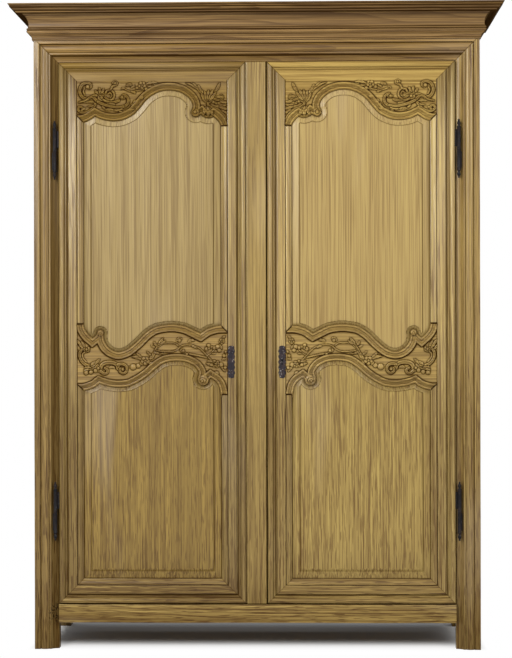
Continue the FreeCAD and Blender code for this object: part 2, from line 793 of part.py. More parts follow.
# Shelves on cleats between the posts
shelf_half = side_inner - s.joint_fit
shelf_ys = (post_back + s.joint_fit, rear_post_front - s.joint_fit)
shelf_levels = {
    "lower": s.shelf_lower_level,
    "middle": s.shelf_middle_level,
    "upper": opening_top - s.shelf_upper_drop,
}
cleats = []
for level, shelf_z in shelf_levels.items():
    node(f"shelf_{level}", block((-shelf_half, shelf_half), shelf_ys, (shelf_z, shelf_z + s.shelf_thickness)))
    for side in SIDES.values():
        cleats.append(block(
            (side * (side_inner - s.cleat_width), side * side_inner),
            (post_back, rear_post_front),
            (shelf_z - s.cleat_height, shelf_z)))
node("shelf_cleats", *cleats)

# Pegs that hold the carcass tenons
node("carcass_pegs", *[carcass_peg(side, kind, s.carcass_peg_radius)
                       for side in SIDES.values() for kind in FRONT_PEGS + REAR_PEGS])

# Cornice: one moulding on the front and two returns, mitred at the corners
cornice_back = [("point", (-s.cornice_seat, s.cornice_height)), ("point", (-s.cornice_seat, s.cornice_lap)),
                ("point", (0, s.cornice_lap)), ("point", (0, 0))]
cornice_face = [("point", (0, 0))] + [
    (kind, (a[0] * s.cornice_projection, a[1] * s.cornice_height)) if kind == "point" else
    (kind, [(p * s.cornice_projection, z * s.cornice_height) for p, z in a])
    for kind, a in CORNICE_FACE_SHARES]
cornice_half = half_body + s.cornice_projection
cornice_front = front - s.cornice_projection
inner_half = half_body - s.cornice_seat
inner_front = front + s.cornice_seat


def cornice_run(place, direction, length, corners):
    """A run of the cornice along one axis, kept inside the plan given by its corners."""
    section = face_of([edges_along(cornice_face, place), edges_along(cornice_back, place)])
    plan_steps = [("point", corner) for corner in corners]
    plan = face_of([edges_along(plan_steps, lambda x, y: vector(x, y, cornice_foot))])
    return common(bar(section, direction, length), bar(plan, (0, 0, 1), s.cornice_height))


node("cornice_front", cornice_run(
    lambda p, z: vector(-cornice_half, front - p, cornice_foot + z), (1, 0, 0), 2 * cornice_half,
    [(-cornice_half, cornice_front), (cornice_half, cornice_front),
     (inner_half, inner_front), (-inner_half, inner_front)]))
for hand, side in SIDES.items():
    node(f"cornice_{hand}", cornice_run(
        lambda p, z: vector(side * (half_body + p), cornice_front, cornice_foot + z),
        (0, 1, 0), back - cornice_front,
        [(side * cornice_half, cornice_front), (side * cornice_half, back),
         (side * inner_half, back), (side * inner_half, inner_front)]))


# Hinges: a leaf and a turned half barrel on the frame and on the door, on one loose pin
def hinge_half(side, level, way):
    low = level if way < 0 else level + s.hinge_running_gap
    end = level + way * s.hinge_half_length
    barrel = rod("z", (side * hinge_x, front), (low, end), s.hinge_barrel_radius)
    steps = [("point", (0, end))]
    for kind, target in FINIAL_SHARES:
        pairs = [target] if kind == "point" else target
        sized = [(r * s.hinge_barrel_radius, end + way * h * s.hinge_finial_height) for r, h in pairs]
        steps.append((kind, sized[0] if kind == "point" else sized))
    finial = turned(steps, side * hinge_x, front)
    leaf = block(*hinge_leaf(side, level, way))
    bore_zs = (level - s.hinge_pin_length / 2, level + s.hinge_pin_length / 2)
    bore = rod("z", (side * hinge_x, front), bore_zs, s.hinge_pin_radius + s.pin_fit)
    return cut(fused(barrel, finial, leaf), bore)


node("hinge_frame_halves", *[hinge_half(side, level, -1)
                             for side in SIDES.values() for level in hinge_levels])
pin_half = s.hinge_pin_length / 2
node("hinge_pins", *[
    rod("z", (side * hinge_x, front), (level - pin_half, level + pin_half), s.hinge_pin_radius)
    for side in SIDES.values() for level in hinge_levels])

# Sections of the door frame, from the door's outer edge inwards and back from the front plane
bead_start = s.edge_round_width + s.edge_quirk_width
bead_end = bead_start + s.edge_bead_width
edge_width = bead_end + s.bead_quirk_width
band_end = s.stile_width - s.sticking_width
EDGE_FACE = [
    ("point", (0, s.edge_round_drop)),
    ("arc", [(s.edge_round_width / 2, 0), (s.edge_round_width, s.edge_round_drop)]),
    ("point", (bead_start, s.edge_round_drop)),
    ("arc", [(bead_start + s.edge_bead_width / 2, s.edge_bead_drop), (bead_end, s.edge_round_drop)]),
    ("point", (edge_width, s.edge_round_drop)),
    ("point", (edge_width, s.band_drop)),
]
sticking_start = band_end + s.sticking_quirk
STILE_FACE = EDGE_FACE + [
    ("point", (band_end, s.band_drop)),
    ("point", (band_end, s.band_drop + s.sticking_quirk)),
    ("point", (sticking_start, s.band_drop + s.sticking_quirk)),
    ("arc", [(sticking_start + (s.stile_width - sticking_start) * STICKING_MIDDLE_SHARES[0],
              s.band_drop + s.sticking_quirk * STICKING_MIDDLE_SHARES[1]),
             (s.stile_width, s.door_face_depth)]),
]
groove_front = front + s.door_groove_setback
groove_ys = (groove_front, groove_front + s.panel_groove_width)
tongue_ys = (groove_ys[0] + s.panel_side_gap, groove_ys[1] - s.panel_side_gap)
door_back = front + s.door_thickness
crest_tenon_zs = (door_top - s.crest_tenon_drop - s.crest_tenon_height, door_top - s.crest_tenon_drop)
mid_tenon_zs = (s.mid_rail_level - s.mid_tenon_height / 2, s.mid_rail_level + s.mid_tenon_height / 2)
foot_tenon_zs = (door_foot + s.foot_tenon_rise, door_foot + s.foot_tenon_rise + s.foot_tenon_height)
TENON_LEVELS = {"top": crest_tenon_zs, "mid": mid_tenon_zs, "bottom": foot_tenon_zs}


def crest_level(share):
    return door_top - share * s.crest_depth


def mid_level(share):
    return s.mid_rail_level + share * s.mid_rail_height


def build_door(hand, side):
    """One door: two stiles, three rails and two panels, its hinge halves, pegs and escutcheon."""

    def door_x(u):
        return side * (hinge_edge - u)

    def mirrored(u, at_lock):
        return door_width - u if at_lock else u

    def edge_steps(shares, level, grow, rise):
        """A serpentine edge in door sizes, spread past the stiles by grow and moved up by rise."""
        start = s.stile_width - grow
        span = door_width - 2 * start

        def sized(pair):
            return (start + pair[0] * span, level(pair[1]) + rise)

        return [(kind, sized(a) if kind == "point" else [sized(pair) for pair in a]) for kind, a in shares]

    def at_depth(y):
        return lambda u, z: vector(door_x(u), y, z)

    def opening(name, grow, y, field=False):
        """Edges round a panel opening at depth y: its head from hinge to lock, then its foot."""
        place = at_depth(y)
        head_shares = CREST_FIELD_SHARES if field else CREST_EDGE_SHARES
        head_level = crest_level
        if name == "lower":
            head_shares = MID_FOOT_FIELD_SHARES if field else MID_FOOT_SHARES
            head_level = mid_level
        head = edges_along(edge_steps(head_shares, head_level, grow, grow), place)
        if name == "upper":
            foot_shares = MID_HEAD_FIELD_SHARES if field else MID_HEAD_SHARES
            foot = edges_along(edge_steps(foot_shares, mid_level, grow, -grow), place)
            foot = [turned_edge(edge) for edge in reversed(foot)]
        else:
            inset = FIELD_INSET_SHARE * (door_width - 2 * s.stile_width) if field else 0
            foot_z = door_foot + s.bottom_rail_height - grow + inset
            ends = (door_width - s.stile_width + grow - inset, s.stile_width - grow + inset)
            foot = edges_along([("point", (end, foot_z)) for end in ends], place)
        return [head, foot]

    def panel_slab(name, grow, ys):
        return bar(face_of(opening(name, grow, ys[0])), (0, 1, 0), ys[1] - ys[0])

    def door_tenon(at_lock, zs):
        us = (mirrored(s.stile_width, at_lock), mirrored(s.stile_width - s.door_tenon_length, at_lock))
        return (door_x(us[0]), door_x(us[1])), groove_ys, zs

    def pegs_at(at_lock, level, radius):
        u = mirrored(s.stile_width - s.door_tenon_length / 2, at_lock)
        zs = TENON_LEVELS[level]
        offsets = (0,) if level == "bottom" else (-s.door_peg_spread / 2, s.door_peg_spread / 2)
        return [rod("y", (door_x(u), middle(zs) + offset), (door_back - s.door_peg_length, door_back), radius)
                for offset in offsets]

    def front_board(steps_lists):
        """A flat outline of a rail's face, as thick as the frame's moulded front."""
        return bar(face_of(steps_lists), (0, 1, 0), s.door_face_depth)

    place_front = at_depth(front)
    crest_edges = edges_along(edge_steps(CREST_EDGE_SHARES, crest_level, 0, 0), place_front)
    head_edges = edges_along(edge_steps(MID_HEAD_SHARES, mid_level, 0, 0), place_front)
    foot_edges = edges_along(edge_steps(MID_FOOT_SHARES, mid_level, 0, 0), place_front)
    lock_inner = door_width - s.stile_width
    sticking_rise = s.sticking_width

    def top_board():
        corners = [(lock_inner + sticking_rise, crest_level(CREST_EDGE_SHARES[-1][1][-1][1]) + sticking_rise),
                   (door_width - band_end, door_top - edge_width),
                   (door_width - edge_width, door_top - edge_width),
                   (door_width, door_top), (0, door_top), (edge_width, door_top - edge_width),
                   (band_end, door_top - edge_width),
                   (band_end, crest_level(CREST_EDGE_SHARES[0][1][1]) + sticking_rise)]
        return front_board([crest_edges, edges_along([("point", corner) for corner in corners], place_front)])

    def mid_board():
        head_lock = mid_level(MID_HEAD_SHARES[-1][1][-1][1])
        foot_lock = mid_level(MID_FOOT_SHARES[-1][1][-1][1])
        lock_side = [(door_width - band_end, head_lock - sticking_rise),
                     (door_width - band_end, foot_lock + sticking_rise)]
        hinge_side = [(band_end, mid_level(MID_FOOT_SHARES[0][1][1]) + sticking_rise),
                      (band_end, mid_level(MID_HEAD_SHARES[0][1][1]) - sticking_rise)]
        lock_edges = edges_along([("point", corner) for corner in lock_side], place_front)
        hinge_edges = edges_along([("point", corner) for corner in hinge_side], place_front)
        under = [turned_edge(edge) for edge in reversed(foot_edges)]
        return front_board([head_edges, lock_edges, under, hinge_edges])

    def foot_board():
        corners = [(0, door_foot), (door_width, door_foot), (lock_inner, door_foot + s.stile_width),
                   (s.stile_width, door_foot + s.stile_width)]
        return front_board([edges_along([("point", corner) for corner in corners], place_front)])

    def moulded_run(steps, head, way):
        """A section drawn across the whole door from its head down, or from its foot up."""
        def place(u, d):
            return vector(door_x(0), front + d, head + way * u)

        last = steps[-1][1] if steps[-1][0] == "point" else steps[-1][1][-1]
        behind = [("point", (last[0], s.door_face_depth)), ("point", (0, s.door_face_depth))]
        flat = face_of([edges_along(steps, place), edges_along(behind, place)])
        return bar(flat, (-side, 0, 0), door_width)

    # Stiles
    foot_head = door_foot + s.bottom_rail_height
    for at_lock, name in ((False, "hinge_stile"), (True, "lock_stile")):
        face_edges = edges_along(
            STILE_FACE, lambda u, d: vector(door_x(mirrored(u, at_lock)), front + d, door_foot))
        behind = edges_along(
            [("point", (s.stile_width, s.door_thickness)), ("point", (0, s.door_thickness))],
            lambda u, d: vector(door_x(mirrored(u, at_lock)), front + d, door_foot))
        shaft = bar(face_of([face_edges, behind]), (0, 0, 1), door_top - door_foot)
        groove = block(
            (door_x(mirrored(s.stile_width - s.panel_groove_depth, at_lock)),
             door_x(mirrored(s.stile_width, at_lock))),
            groove_ys, (foot_head - s.panel_groove_depth, crest_tenon_zs[0]))
        tools = [top_board(), mid_board(), foot_board(), groove]
        for level, zs in TENON_LEVELS.items():
            tools.append(mortise(door_tenon(at_lock, zs), "x"))
            tools.extend(pegs_at(at_lock, level, s.door_peg_radius + s.peg_fit))
        if at_lock:
            tools.extend(escutcheon_holes(side))
            if side < 0:
                tools.append(block(*false_post_tongue, grow=s.joint_fit))
        else:
            for level in hinge_levels:
                tools.append(block(*hinge_leaf(side, level, 1), grow=s.joint_fit))
        node(f"{hand}_{name}", cut(shaft, *tools))

    # Rails
    hinge_inner = s.stile_width
    full_us = (door_x(hinge_inner), door_x(lock_inner))

    def tenons_of(level):
        return [block(*door_tenon(at_lock, TENON_LEVELS[level])) for at_lock in (False, True)]

    def peg_holes_of(level):
        holes = []
        for at_lock in (False, True):
            holes.extend(pegs_at(at_lock, level, s.door_peg_radius + s.peg_fit))
        return holes

    core_ys = (front + s.door_face_depth, door_back)
    core_place = at_depth(core_ys[0])
    core_depth = core_ys[1] - core_ys[0]
    flat_top = EDGE_FACE + [("point", (s.crest_depth + s.edge_round_width, s.band_drop))]
    crest_face = common(moulded_run(flat_top, door_top, -1), top_board())
    core_edges = edges_along(edge_steps(CREST_EDGE_SHARES, crest_level, 0, 0), core_place)
    core_head = edges_along(
        [("point", (lock_inner, door_top)), ("point", (hinge_inner, door_top))], core_place)
    crest_core = bar(face_of([core_edges, core_head]), (0, 1, 0), core_depth)
    upper_groove = panel_slab("upper", s.panel_groove_depth, groove_ys)
    upper_tongue = panel_slab("upper", panel_inset, tongue_ys)
    grooved_crest = cut(crest_core, upper_groove, upper_tongue)
    node(f"{hand}_top_rail", cut(fused(grooved_crest, crest_face, *tenons_of("top")), *peg_holes_of("top")))

    wide_run = block((door_x(0), door_x(door_width)), (front + s.band_drop, front + s.door_face_depth),
                     (mid_level(-1), mid_level(1)))
    mid_face = common(wide_run, mid_board())
    core_top = edges_along(edge_steps(MID_HEAD_SHARES, mid_level, 0, 0), core_place)
    core_under = edges_along(edge_steps(MID_FOOT_SHARES, mid_level, 0, 0), core_place)
    core_under = [turned_edge(edge) for edge in reversed(core_under)]
    mid_core = bar(face_of([core_top, core_under]), (0, 1, 0), core_depth)
    for name in ("upper", "lower"):
        mid_core = cut(mid_core, panel_slab(name, s.panel_groove_depth, groove_ys))
        mid_core = cut(mid_core, panel_slab(name, panel_inset, tongue_ys))
    node(f"{hand}_mid_rail", cut(fused(mid_core, mid_face, *tenons_of("mid")), *peg_holes_of("mid")))

    foot_face = common(moulded_run(STILE_FACE, door_foot, 1), foot_board())
    foot_core = block(full_us, core_ys, (door_foot, foot_head))
    foot_groove = block(full_us, groove_ys, (foot_head - s.panel_groove_depth, foot_head))
    node(f"{hand}_bottom_rail", cut(fused(cut(foot_core, foot_groove), foot_face, *tenons_of("bottom")),
                                    *peg_holes_of("bottom")))

    # Panels: a tongue in the grooves with a bevelled field raised in front of it
    for name in ("upper", "lower"):
        tongue = panel_slab(name, panel_inset, tongue_ys)
        rim = wire_of(opening(name, 0, tongue_ys[0]))
        field = wire_of(opening(name, 0, front + s.field_drop, field=True))
        bevel = doc.addObject("Part::Loft", "bevel")
        bevel.Sections = [rim, field]
        bevel.Solid = True
        bevel.Ruled = True
        node(f"{hand}_{name}_panel", fused(tongue, bevel))

    # Pegs, hinge halves and escutcheon
    pegs = []
    for level in TENON_LEVELS:
        for at_lock in (False, True):
            pegs.extend(pegs_at(at_lock, level, s.door_peg_radius))
    node(f"{hand}_door_pegs", *pegs)
    node(f"{hand}_hinge_halves", *[hinge_half(side, level, 1) for level in hinge_levels])
    node(f"{hand}_escutcheon", *escutcheon_pieces(side))


def turned_edge(edge):
    """The same edge run the other way."""
    other = edge.copy()
    other.reverse()
    return other


lock_x = meeting_half + s.lock_inset
plate_ys = (front + s.band_drop - s.escutcheon_thickness, front + s.band_drop)
false_post_tongue = (
    (-(meeting_half + s.false_post_tongue), -meeting_half),
    (front + s.false_post_tongue_setback, front + s.false_post_tongue_setback + s.false_post_tongue_depth),
    (door_foot, door_top))


def escutcheon_nails(side, radius):
    return [rod("y", (side * lock_x, s.lock_level + way * s.nail_spread / 2),
                (plate_ys[0], plate_ys[0] + s.nail_length), radius) for way in (-1, 1)]


def keyhole(ys):
    """A round hole over a narrow slot, for the key in the right door."""
    hole = rod("y", (lock_x, s.lock_level), ys, s.keyhole_radius)
    slot = block(
        (lock_x - s.keyhole_slot_width / 2, lock_x + s.keyhole_slot_width / 2),
        ys, (s.lock_level - s.keyhole_slot_height, s.lock_level))
    return [hole, slot]


def escutcheon_holes(side):
    holes = escutcheon_nails(side, s.nail_radius + s.peg_fit)
    if side > 0:
        holes.extend(keyhole((front, door_back)))
    return holes


def escutcheon_pieces(side):
    """A pierced iron plate, the same above and below its waist, and the two nails that hold it."""
    runs = []
    for right, up in ((1, 1), (-1, 1), (-1, -1), (1, -1)):
        steps = [("point", (1, 0))] + ESCUTCHEON_SHARES
        run = edges_along(steps, lambda a, b: vector(
            side * lock_x + right * a * s.escutcheon_width / 2, plate_ys[0],
            s.lock_level + up * b * s.escutcheon_height / 2))
        if right * up < 0:
            run = [turned_edge(edge) for edge in reversed(run)]
        runs.append(run)
    plate = bar(face_of(runs), (0, 1, 0), s.escutcheon_thickness)
    holes = escutcheon_nails(side, s.nail_radius + s.peg_fit)
    if side > 0:
        holes.extend(keyhole(plate_ys))
    nails = []
    for shank, way in zip(escutcheon_nails(side, s.nail_radius), (-1, 1)):
        head = rod("y", (side * lock_x, s.lock_level + way * s.nail_spread / 2),
                   (plate_ys[0] - s.nail_head_thickness, plate_ys[0]), s.nail_head_radius)
        nails.append(fused(shank, head))
    return [cut(plate, *holes)] + nails


for hand, side in SIDES.items():
    build_door(hand, side)

# False post, tongued into the lock edge of the left door
false_post = block(
    (-meeting_half, -meeting_half + s.false_post_width),
    (front + s.false_post_drop, door_back), (door_foot, door_top))
node("false_post", fused(false_post, block(*false_post_tongue)))

# Lock: a case on the back of the right door, a bolt on a stud in it, and a leaf spring over the bolt
case_left = meeting_half + s.lock_case_inset
case_xs = (case_left, case_left + s.lock_case_width)
case_ys = (door_back, door_back + s.lock_case_depth)
case_zs = (s.lock_level - s.lock_case_height / 2, s.lock_level + s.lock_case_height / 2)
lock_bolt_xs = (case_left, case_left + s.lock_bolt_length)
lock_bolt_ys = (door_back + s.lock_bolt_standoff, door_back + s.lock_bolt_standoff + s.lock_bolt_depth)
lock_bolt_zs = (s.lock_level - s.lock_bolt_height / 2, s.lock_level + s.lock_bolt_height / 2)
stud_x = case_left + s.lock_bolt_length / 2
stud = rod("y", (stud_x, s.lock_level), (lock_bolt_ys[0], case_ys[1] - s.lock_wall), s.lock_stud_radius)
cavity = block(
    (case_xs[0] + s.lock_wall, case_xs[1] - s.lock_wall), (case_ys[0], case_ys[1] - s.lock_wall),
    (case_zs[0] + s.lock_wall, case_zs[1] - s.lock_wall))
bolt_slot = block((case_xs[0], case_xs[0] + s.lock_wall), lock_bolt_ys, lock_bolt_zs, grow=s.slide_fit)
node("lock_case", fused(cut(block(case_xs, case_ys, case_zs), cavity, bolt_slot), stud))
stud_reach = s.lock_stud_radius + s.slide_fit
stud_slot = block(
    (stud_x - stud_reach, stud_x + stud_reach + s.lock_bolt_travel), lock_bolt_ys,
    (s.lock_level - stud_reach, s.lock_level + stud_reach))
node("lock_bolt", cut(block(lock_bolt_xs, lock_bolt_ys, lock_bolt_zs), stud_slot))
spring_foot = lock_bolt_zs[1] + s.slide_fit
spring_head = case_zs[1] - s.lock_wall
spring_x = middle(case_xs)
spring_half = s.lock_spring_length / 2
spring_outer = edges_along(
    [("point", (-spring_half, spring_foot)), ("arc", [(0, spring_head), (spring_half, spring_foot)])],
    lambda x, z: vector(spring_x + x, lock_bolt_ys[0], z))
spring_inner = edges_along(
    [("point", (spring_half - s.lock_spring_thickness, spring_foot)),
     ("arc", [(0, spring_head - s.lock_spring_thickness),
              (s.lock_spring_thickness - spring_half, spring_foot)])],
    lambda x, z: vector(spring_x + x, lock_bolt_ys[0], z))
node("lock_spring", bar(face_of([spring_outer, spring_inner]), (0, 1, 0), s.lock_bolt_depth))

# Keeper for the lock bolt, on the back of the false post
post_edge = -meeting_half + s.false_post_width
keeper_xs = (post_edge - s.keeper_inset - s.keeper_width, post_edge - s.keeper_inset)
keeper_zs = (s.lock_level - s.keeper_height / 2, s.lock_level + s.keeper_height / 2)
keeper_hole = block(
    keeper_xs, (door_back + s.keeper_wall, door_back + s.keeper_depth - s.keeper_wall),
    (keeper_zs[0] + s.keeper_wall, keeper_zs[1] - s.keeper_wall))
node("lock_keeper", cut(block(keeper_xs, (door_back, door_back + s.keeper_depth), keeper_zs), keeper_hole))

# Sliding bolts at the head and foot of the left door, each in two guides on the lock stile's back
guide_xs = (bolt_xs[0] - s.guide_wall, bolt_xs[1] + s.guide_wall)
guide_ys = (door_back, bolt_ys[1] + s.guide_wall)
guides = []
bolt_ends = {
    "top_bolt": (opening_top - s.door_stop_height - s.bolt_rest_gap, -1),
    "bottom_bolt": (floor_top + s.bolt_rest_gap, 1),
}
for name, (tip, way) in bolt_ends.items():
    tail = tip + way * s.bolt_length
    centre = middle((tip, tail))
    knob = rod("y", (bolt_x, centre), (bolt_ys[1], bolt_ys[1] + s.bolt_knob_length), s.bolt_knob_radius)
    node(name, fused(block(bolt_xs, bolt_ys, (tip, tail)), knob))
    for end, inward in ((tip, way), (tail, -way)):
        low = end + inward * s.guide_end_margin
        guide = block(guide_xs, guide_ys, (low, low + inward * s.guide_height))
        channel = block(bolt_xs, bolt_ys, (low, low + inward * s.guide_height), grow=s.slide_fit)
        guides.append(cut(guide, channel))
node("bolt_guides", *guides)

doc.recompute()
failed = [item.Label for item in doc.Objects if "Invalid" in item.State or "Error" in item.State]
failed += [item.Label for item in nodes if item.Shape.isNull() or not item.Shape.isValid()]
if failed:
    raise RuntimeError("failed: " + ", ".join(failed))
os.makedirs("parts", exist_ok=True)
for item in nodes:
    item.Shape.exportStep(f"parts/{item.Label}.step")
print(len(nodes), "nodes")
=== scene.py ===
import math

import bpy
import numpy as np
from mathutils import Euler, Matrix, Vector, noise


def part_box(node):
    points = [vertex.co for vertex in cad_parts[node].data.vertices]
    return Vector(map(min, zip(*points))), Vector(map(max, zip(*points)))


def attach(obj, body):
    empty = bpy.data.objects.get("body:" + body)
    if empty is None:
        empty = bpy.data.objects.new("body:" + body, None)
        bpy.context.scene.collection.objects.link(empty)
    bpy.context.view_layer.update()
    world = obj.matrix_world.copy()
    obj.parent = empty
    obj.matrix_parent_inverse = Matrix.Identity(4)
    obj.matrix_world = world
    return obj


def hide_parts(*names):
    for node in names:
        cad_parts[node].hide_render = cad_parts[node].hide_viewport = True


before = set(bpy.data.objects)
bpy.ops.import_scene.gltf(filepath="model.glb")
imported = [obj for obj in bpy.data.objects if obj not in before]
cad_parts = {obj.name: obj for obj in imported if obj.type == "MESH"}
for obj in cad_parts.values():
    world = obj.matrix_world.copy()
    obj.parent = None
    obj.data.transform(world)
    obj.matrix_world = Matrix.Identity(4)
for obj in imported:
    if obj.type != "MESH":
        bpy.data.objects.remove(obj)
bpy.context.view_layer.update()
scene = bpy.context.scene
scene.view_settings.view_transform = "Standard"


# The room: a pale paper sweep on the ground, plain soft lamps and a white surround.
# The paper takes the cupboard's shadow close by and fades to white further out.


def tone(red, green, blue):
    """A colour read off a screen, 0 to 255, as the linear values that a shader takes."""
    shares = [part / 255 for part in (red, green, blue)]
    linear = [s / 12.92 if s <= 0.04045 else ((s + 0.055) / 1.055) ** 2.4 for s in shares]
    return (*linear, 1.0)


def node_in(tree, kind, **settings):
    """A shader node with its inputs, outputs and options set by name."""
    made = tree.nodes.new(kind)
    for name, value in settings.items():
        socket = made.inputs.get(name.replace("_", " "))
        if socket is None:
            setattr(made, name, value)
        else:
            socket.default_value = value
    return made


def rays_that_look(tree):
    """One where a ray comes from the camera, a reflection or a glass, zero elsewhere."""
    path = tree.nodes.new("ShaderNodeLightPath")
    seen = path.outputs["Is Camera Ray"]
    for other in ("Is Glossy Ray", "Is Transmission Ray"):
        either = node_in(tree, "ShaderNodeMath", operation="MAXIMUM")
        tree.links.new(seen, either.inputs[0])
        tree.links.new(path.outputs[other], either.inputs[1])
        seen = either.outputs[0]
    return seen


surround = bpy.data.worlds.new("studio")
scene.world = surround
surround.use_nodes = True
room = surround.node_tree
room.nodes.clear()
soft_air = node_in(room, "ShaderNodeBackground", Color=tone(238, 240, 246), Strength=0.36)
white_wall = node_in(room, "ShaderNodeBackground", Color=(1, 1, 1, 1), Strength=1.0)
room_mix = room.nodes.new("ShaderNodeMixShader")
room_out = room.nodes.new("ShaderNodeOutputWorld")
room.links.new(rays_that_look(room), room_mix.inputs[0])
room.links.new(soft_air.outputs[0], room_mix.inputs[1])
room.links.new(white_wall.outputs[0], room_mix.inputs[2])
room.links.new(room_mix.outputs[0], room_out.inputs[0])

paper_half = 9.0
shade_side, white_side = 0.73, 0.79
shade_front, white_front = -0.04, -0.29
shade_back, white_back = 0.42, 0.75
paper_mesh = bpy.data.meshes.new("paper_floor")
corners = [(-1, -1), (1, -1), (1, 1), (-1, 1)]
paper_mesh.from_pydata([(x * paper_half, y * paper_half, 0) for x, y in corners], [], [(0, 1, 2, 3)])
paper_floor = bpy.data.objects.new("paper_floor", paper_mesh)
scene.collection.objects.link(paper_floor)
paper = bpy.data.materials.new("pale_paper")
paper.use_nodes = True
sheet = paper.node_tree
sheet.nodes.clear()
matt = node_in(sheet, "ShaderNodeBsdfDiffuse", Color=tone(244, 243, 240))
glow = node_in(sheet, "ShaderNodeEmission", Color=(1, 1, 1, 1), Strength=1.0)
place = sheet.nodes.new("ShaderNodeNewGeometry")
spot_on_floor = sheet.nodes.new("ShaderNodeSeparateXYZ")
sheet.links.new(place.outputs["Position"], spot_on_floor.inputs[0])
outward = node_in(sheet, "ShaderNodeMath", operation="ABSOLUTE")
sheet.links.new(spot_on_floor.outputs["X"], outward.inputs[0])
faded = None
for distance, dark_to, white_from in (
    (outward.outputs[0], shade_side, white_side),
    (spot_on_floor.outputs["Y"], shade_front, white_front),
    (spot_on_floor.outputs["Y"], shade_back, white_back),
):
    fade = node_in(sheet, "ShaderNodeMapRange", interpolation_type="SMOOTHSTEP")
    fade.inputs["From Min"].default_value = dark_to
    fade.inputs["From Max"].default_value = white_from
    sheet.links.new(distance, fade.inputs["Value"])
    if faded is None:
        faded = fade.outputs[0]
    else:
        further = node_in(sheet, "ShaderNodeMath", operation="MAXIMUM")
        sheet.links.new(faded, further.inputs[0])
        sheet.links.new(fade.outputs[0], further.inputs[1])
        faded = further.outputs[0]
seen_fade = node_in(sheet, "ShaderNodeMath", operation="MULTIPLY")
paper_mix = sheet.nodes.new("ShaderNodeMixShader")
paper_out = sheet.nodes.new("ShaderNodeOutputMaterial")
sheet.links.new(faded, seen_fade.inputs[0])
sheet.links.new(rays_that_look(sheet), seen_fade.inputs[1])
sheet.links.new(seen_fade.outputs[0], paper_mix.inputs[0])
sheet.links.new(matt.outputs[0], paper_mix.inputs[1])
sheet.links.new(glow.outputs[0], paper_mix.inputs[2])
sheet.links.new(paper_mix.outputs[0], paper_out.inputs[0])
paper_mesh.materials.append(paper)

for lamp_name, spot, aim, width, tall, watts, cone in (
    ("key_left", (-2.3, -3.7, 3.5), (0.1, 0, 1.1), 1.2, 1.2, 114, 180),
    ("strip_left", (-1.5, -4.4, 2.4), (0.2, 0, 1.4), 0.2, 1.5, 62, 180),
    ("fill_right", (3.0, -3.6, 3.0), (0.2, 0, 0.9), 2.2, 1.8, 100, 180),
    ("back_soft", (0.5, 6.0, 3.2), (0, 0.33, 1.75), 0.8, 0.8, 13, 28),
):
    lamp = bpy.data.lights.new(lamp_name, "AREA")
    lamp.shape = "RECTANGLE"
    lamp.size = width
    lamp.size_y = tall
    lamp.energy = watts
    lamp.spread = math.radians(cone)
    holder = bpy.data.objects.new(lamp_name, lamp)
    holder.location = spot
    holder.rotation_euler = (Vector(aim) - Vector(spot)).to_track_quat("-Z", "Y").to_euler()
    scene.collection.objects.link(holder)

# The camera: it stands seven metres off, a little to the right of the middle and at chest height,
# and looks straight at the doors through a long lens.
view_stand = Vector((0.178, -6.94, 1.101))
view_yaw = 0.0269
view_pitch = -0.00096
view_roll = -0.0022
view_camera = bpy.data.cameras.new("view")
view_camera.sensor_width = 36.0
view_camera.lens = 107.2
view_holder = bpy.data.objects.new("view", view_camera)
view_holder.location = view_stand
level = Euler((math.radians(90) + view_pitch, 0, view_yaw), "XYZ").to_matrix()
view_holder.rotation_euler = (level @ Matrix.Rotation(view_roll, 3, "Z")).to_euler()
scene.collection.objects.link(view_holder)
scene.camera = view_holder


# The front posts: square oak posts whose inner arris is worked to a cove, a fillet and a broad round.
# Each is one length from the floor to the cornice, planed by hand, so its lines waver a little.


def mixed(tree, share, first, second, blend="MIX"):
    """Two colours mixed by a share, each given as a socket or as a plain value."""
    mix = tree.nodes.new("ShaderNodeMix")
    mix.data_type = "RGBA"
    mix.blend_type = blend
    for socket, value in ((mix.inputs[0], share), (mix.inputs[6], first), (mix.inputs[7], second)):
        if isinstance(value, bpy.types.NodeSocket):
            tree.links.new(value, socket)
        else:
            socket.default_value = value
    return mix.outputs[2]


def reckoned(tree, operation, first, second):
    """One arithmetic step on two values, each a socket or a number."""
    step = node_in(tree, "ShaderNodeMath", operation=operation)
    for socket, value in ((step.inputs[0], first), (step.inputs[1], second)):
        if isinstance(value, bpy.types.NodeSocket):
            tree.links.new(value, socket)
        else:
            socket.default_value = value
    return step.outputs[0]


def spread(tree, value, low, high, new_low=0.0, new_high=1.0):
    """A value moved smoothly from one range to another."""
    span = node_in(tree, "ShaderNodeMapRange", interpolation_type="SMOOTHSTEP")
    span.inputs["From Min"].default_value = low
    span.inputs["From Max"].default_value = high
    span.inputs["To Min"].default_value = new_low
    span.inputs["To Max"].default_value = new_high
    tree.links.new(value, span.inputs["Value"])
    return span.outputs[0]


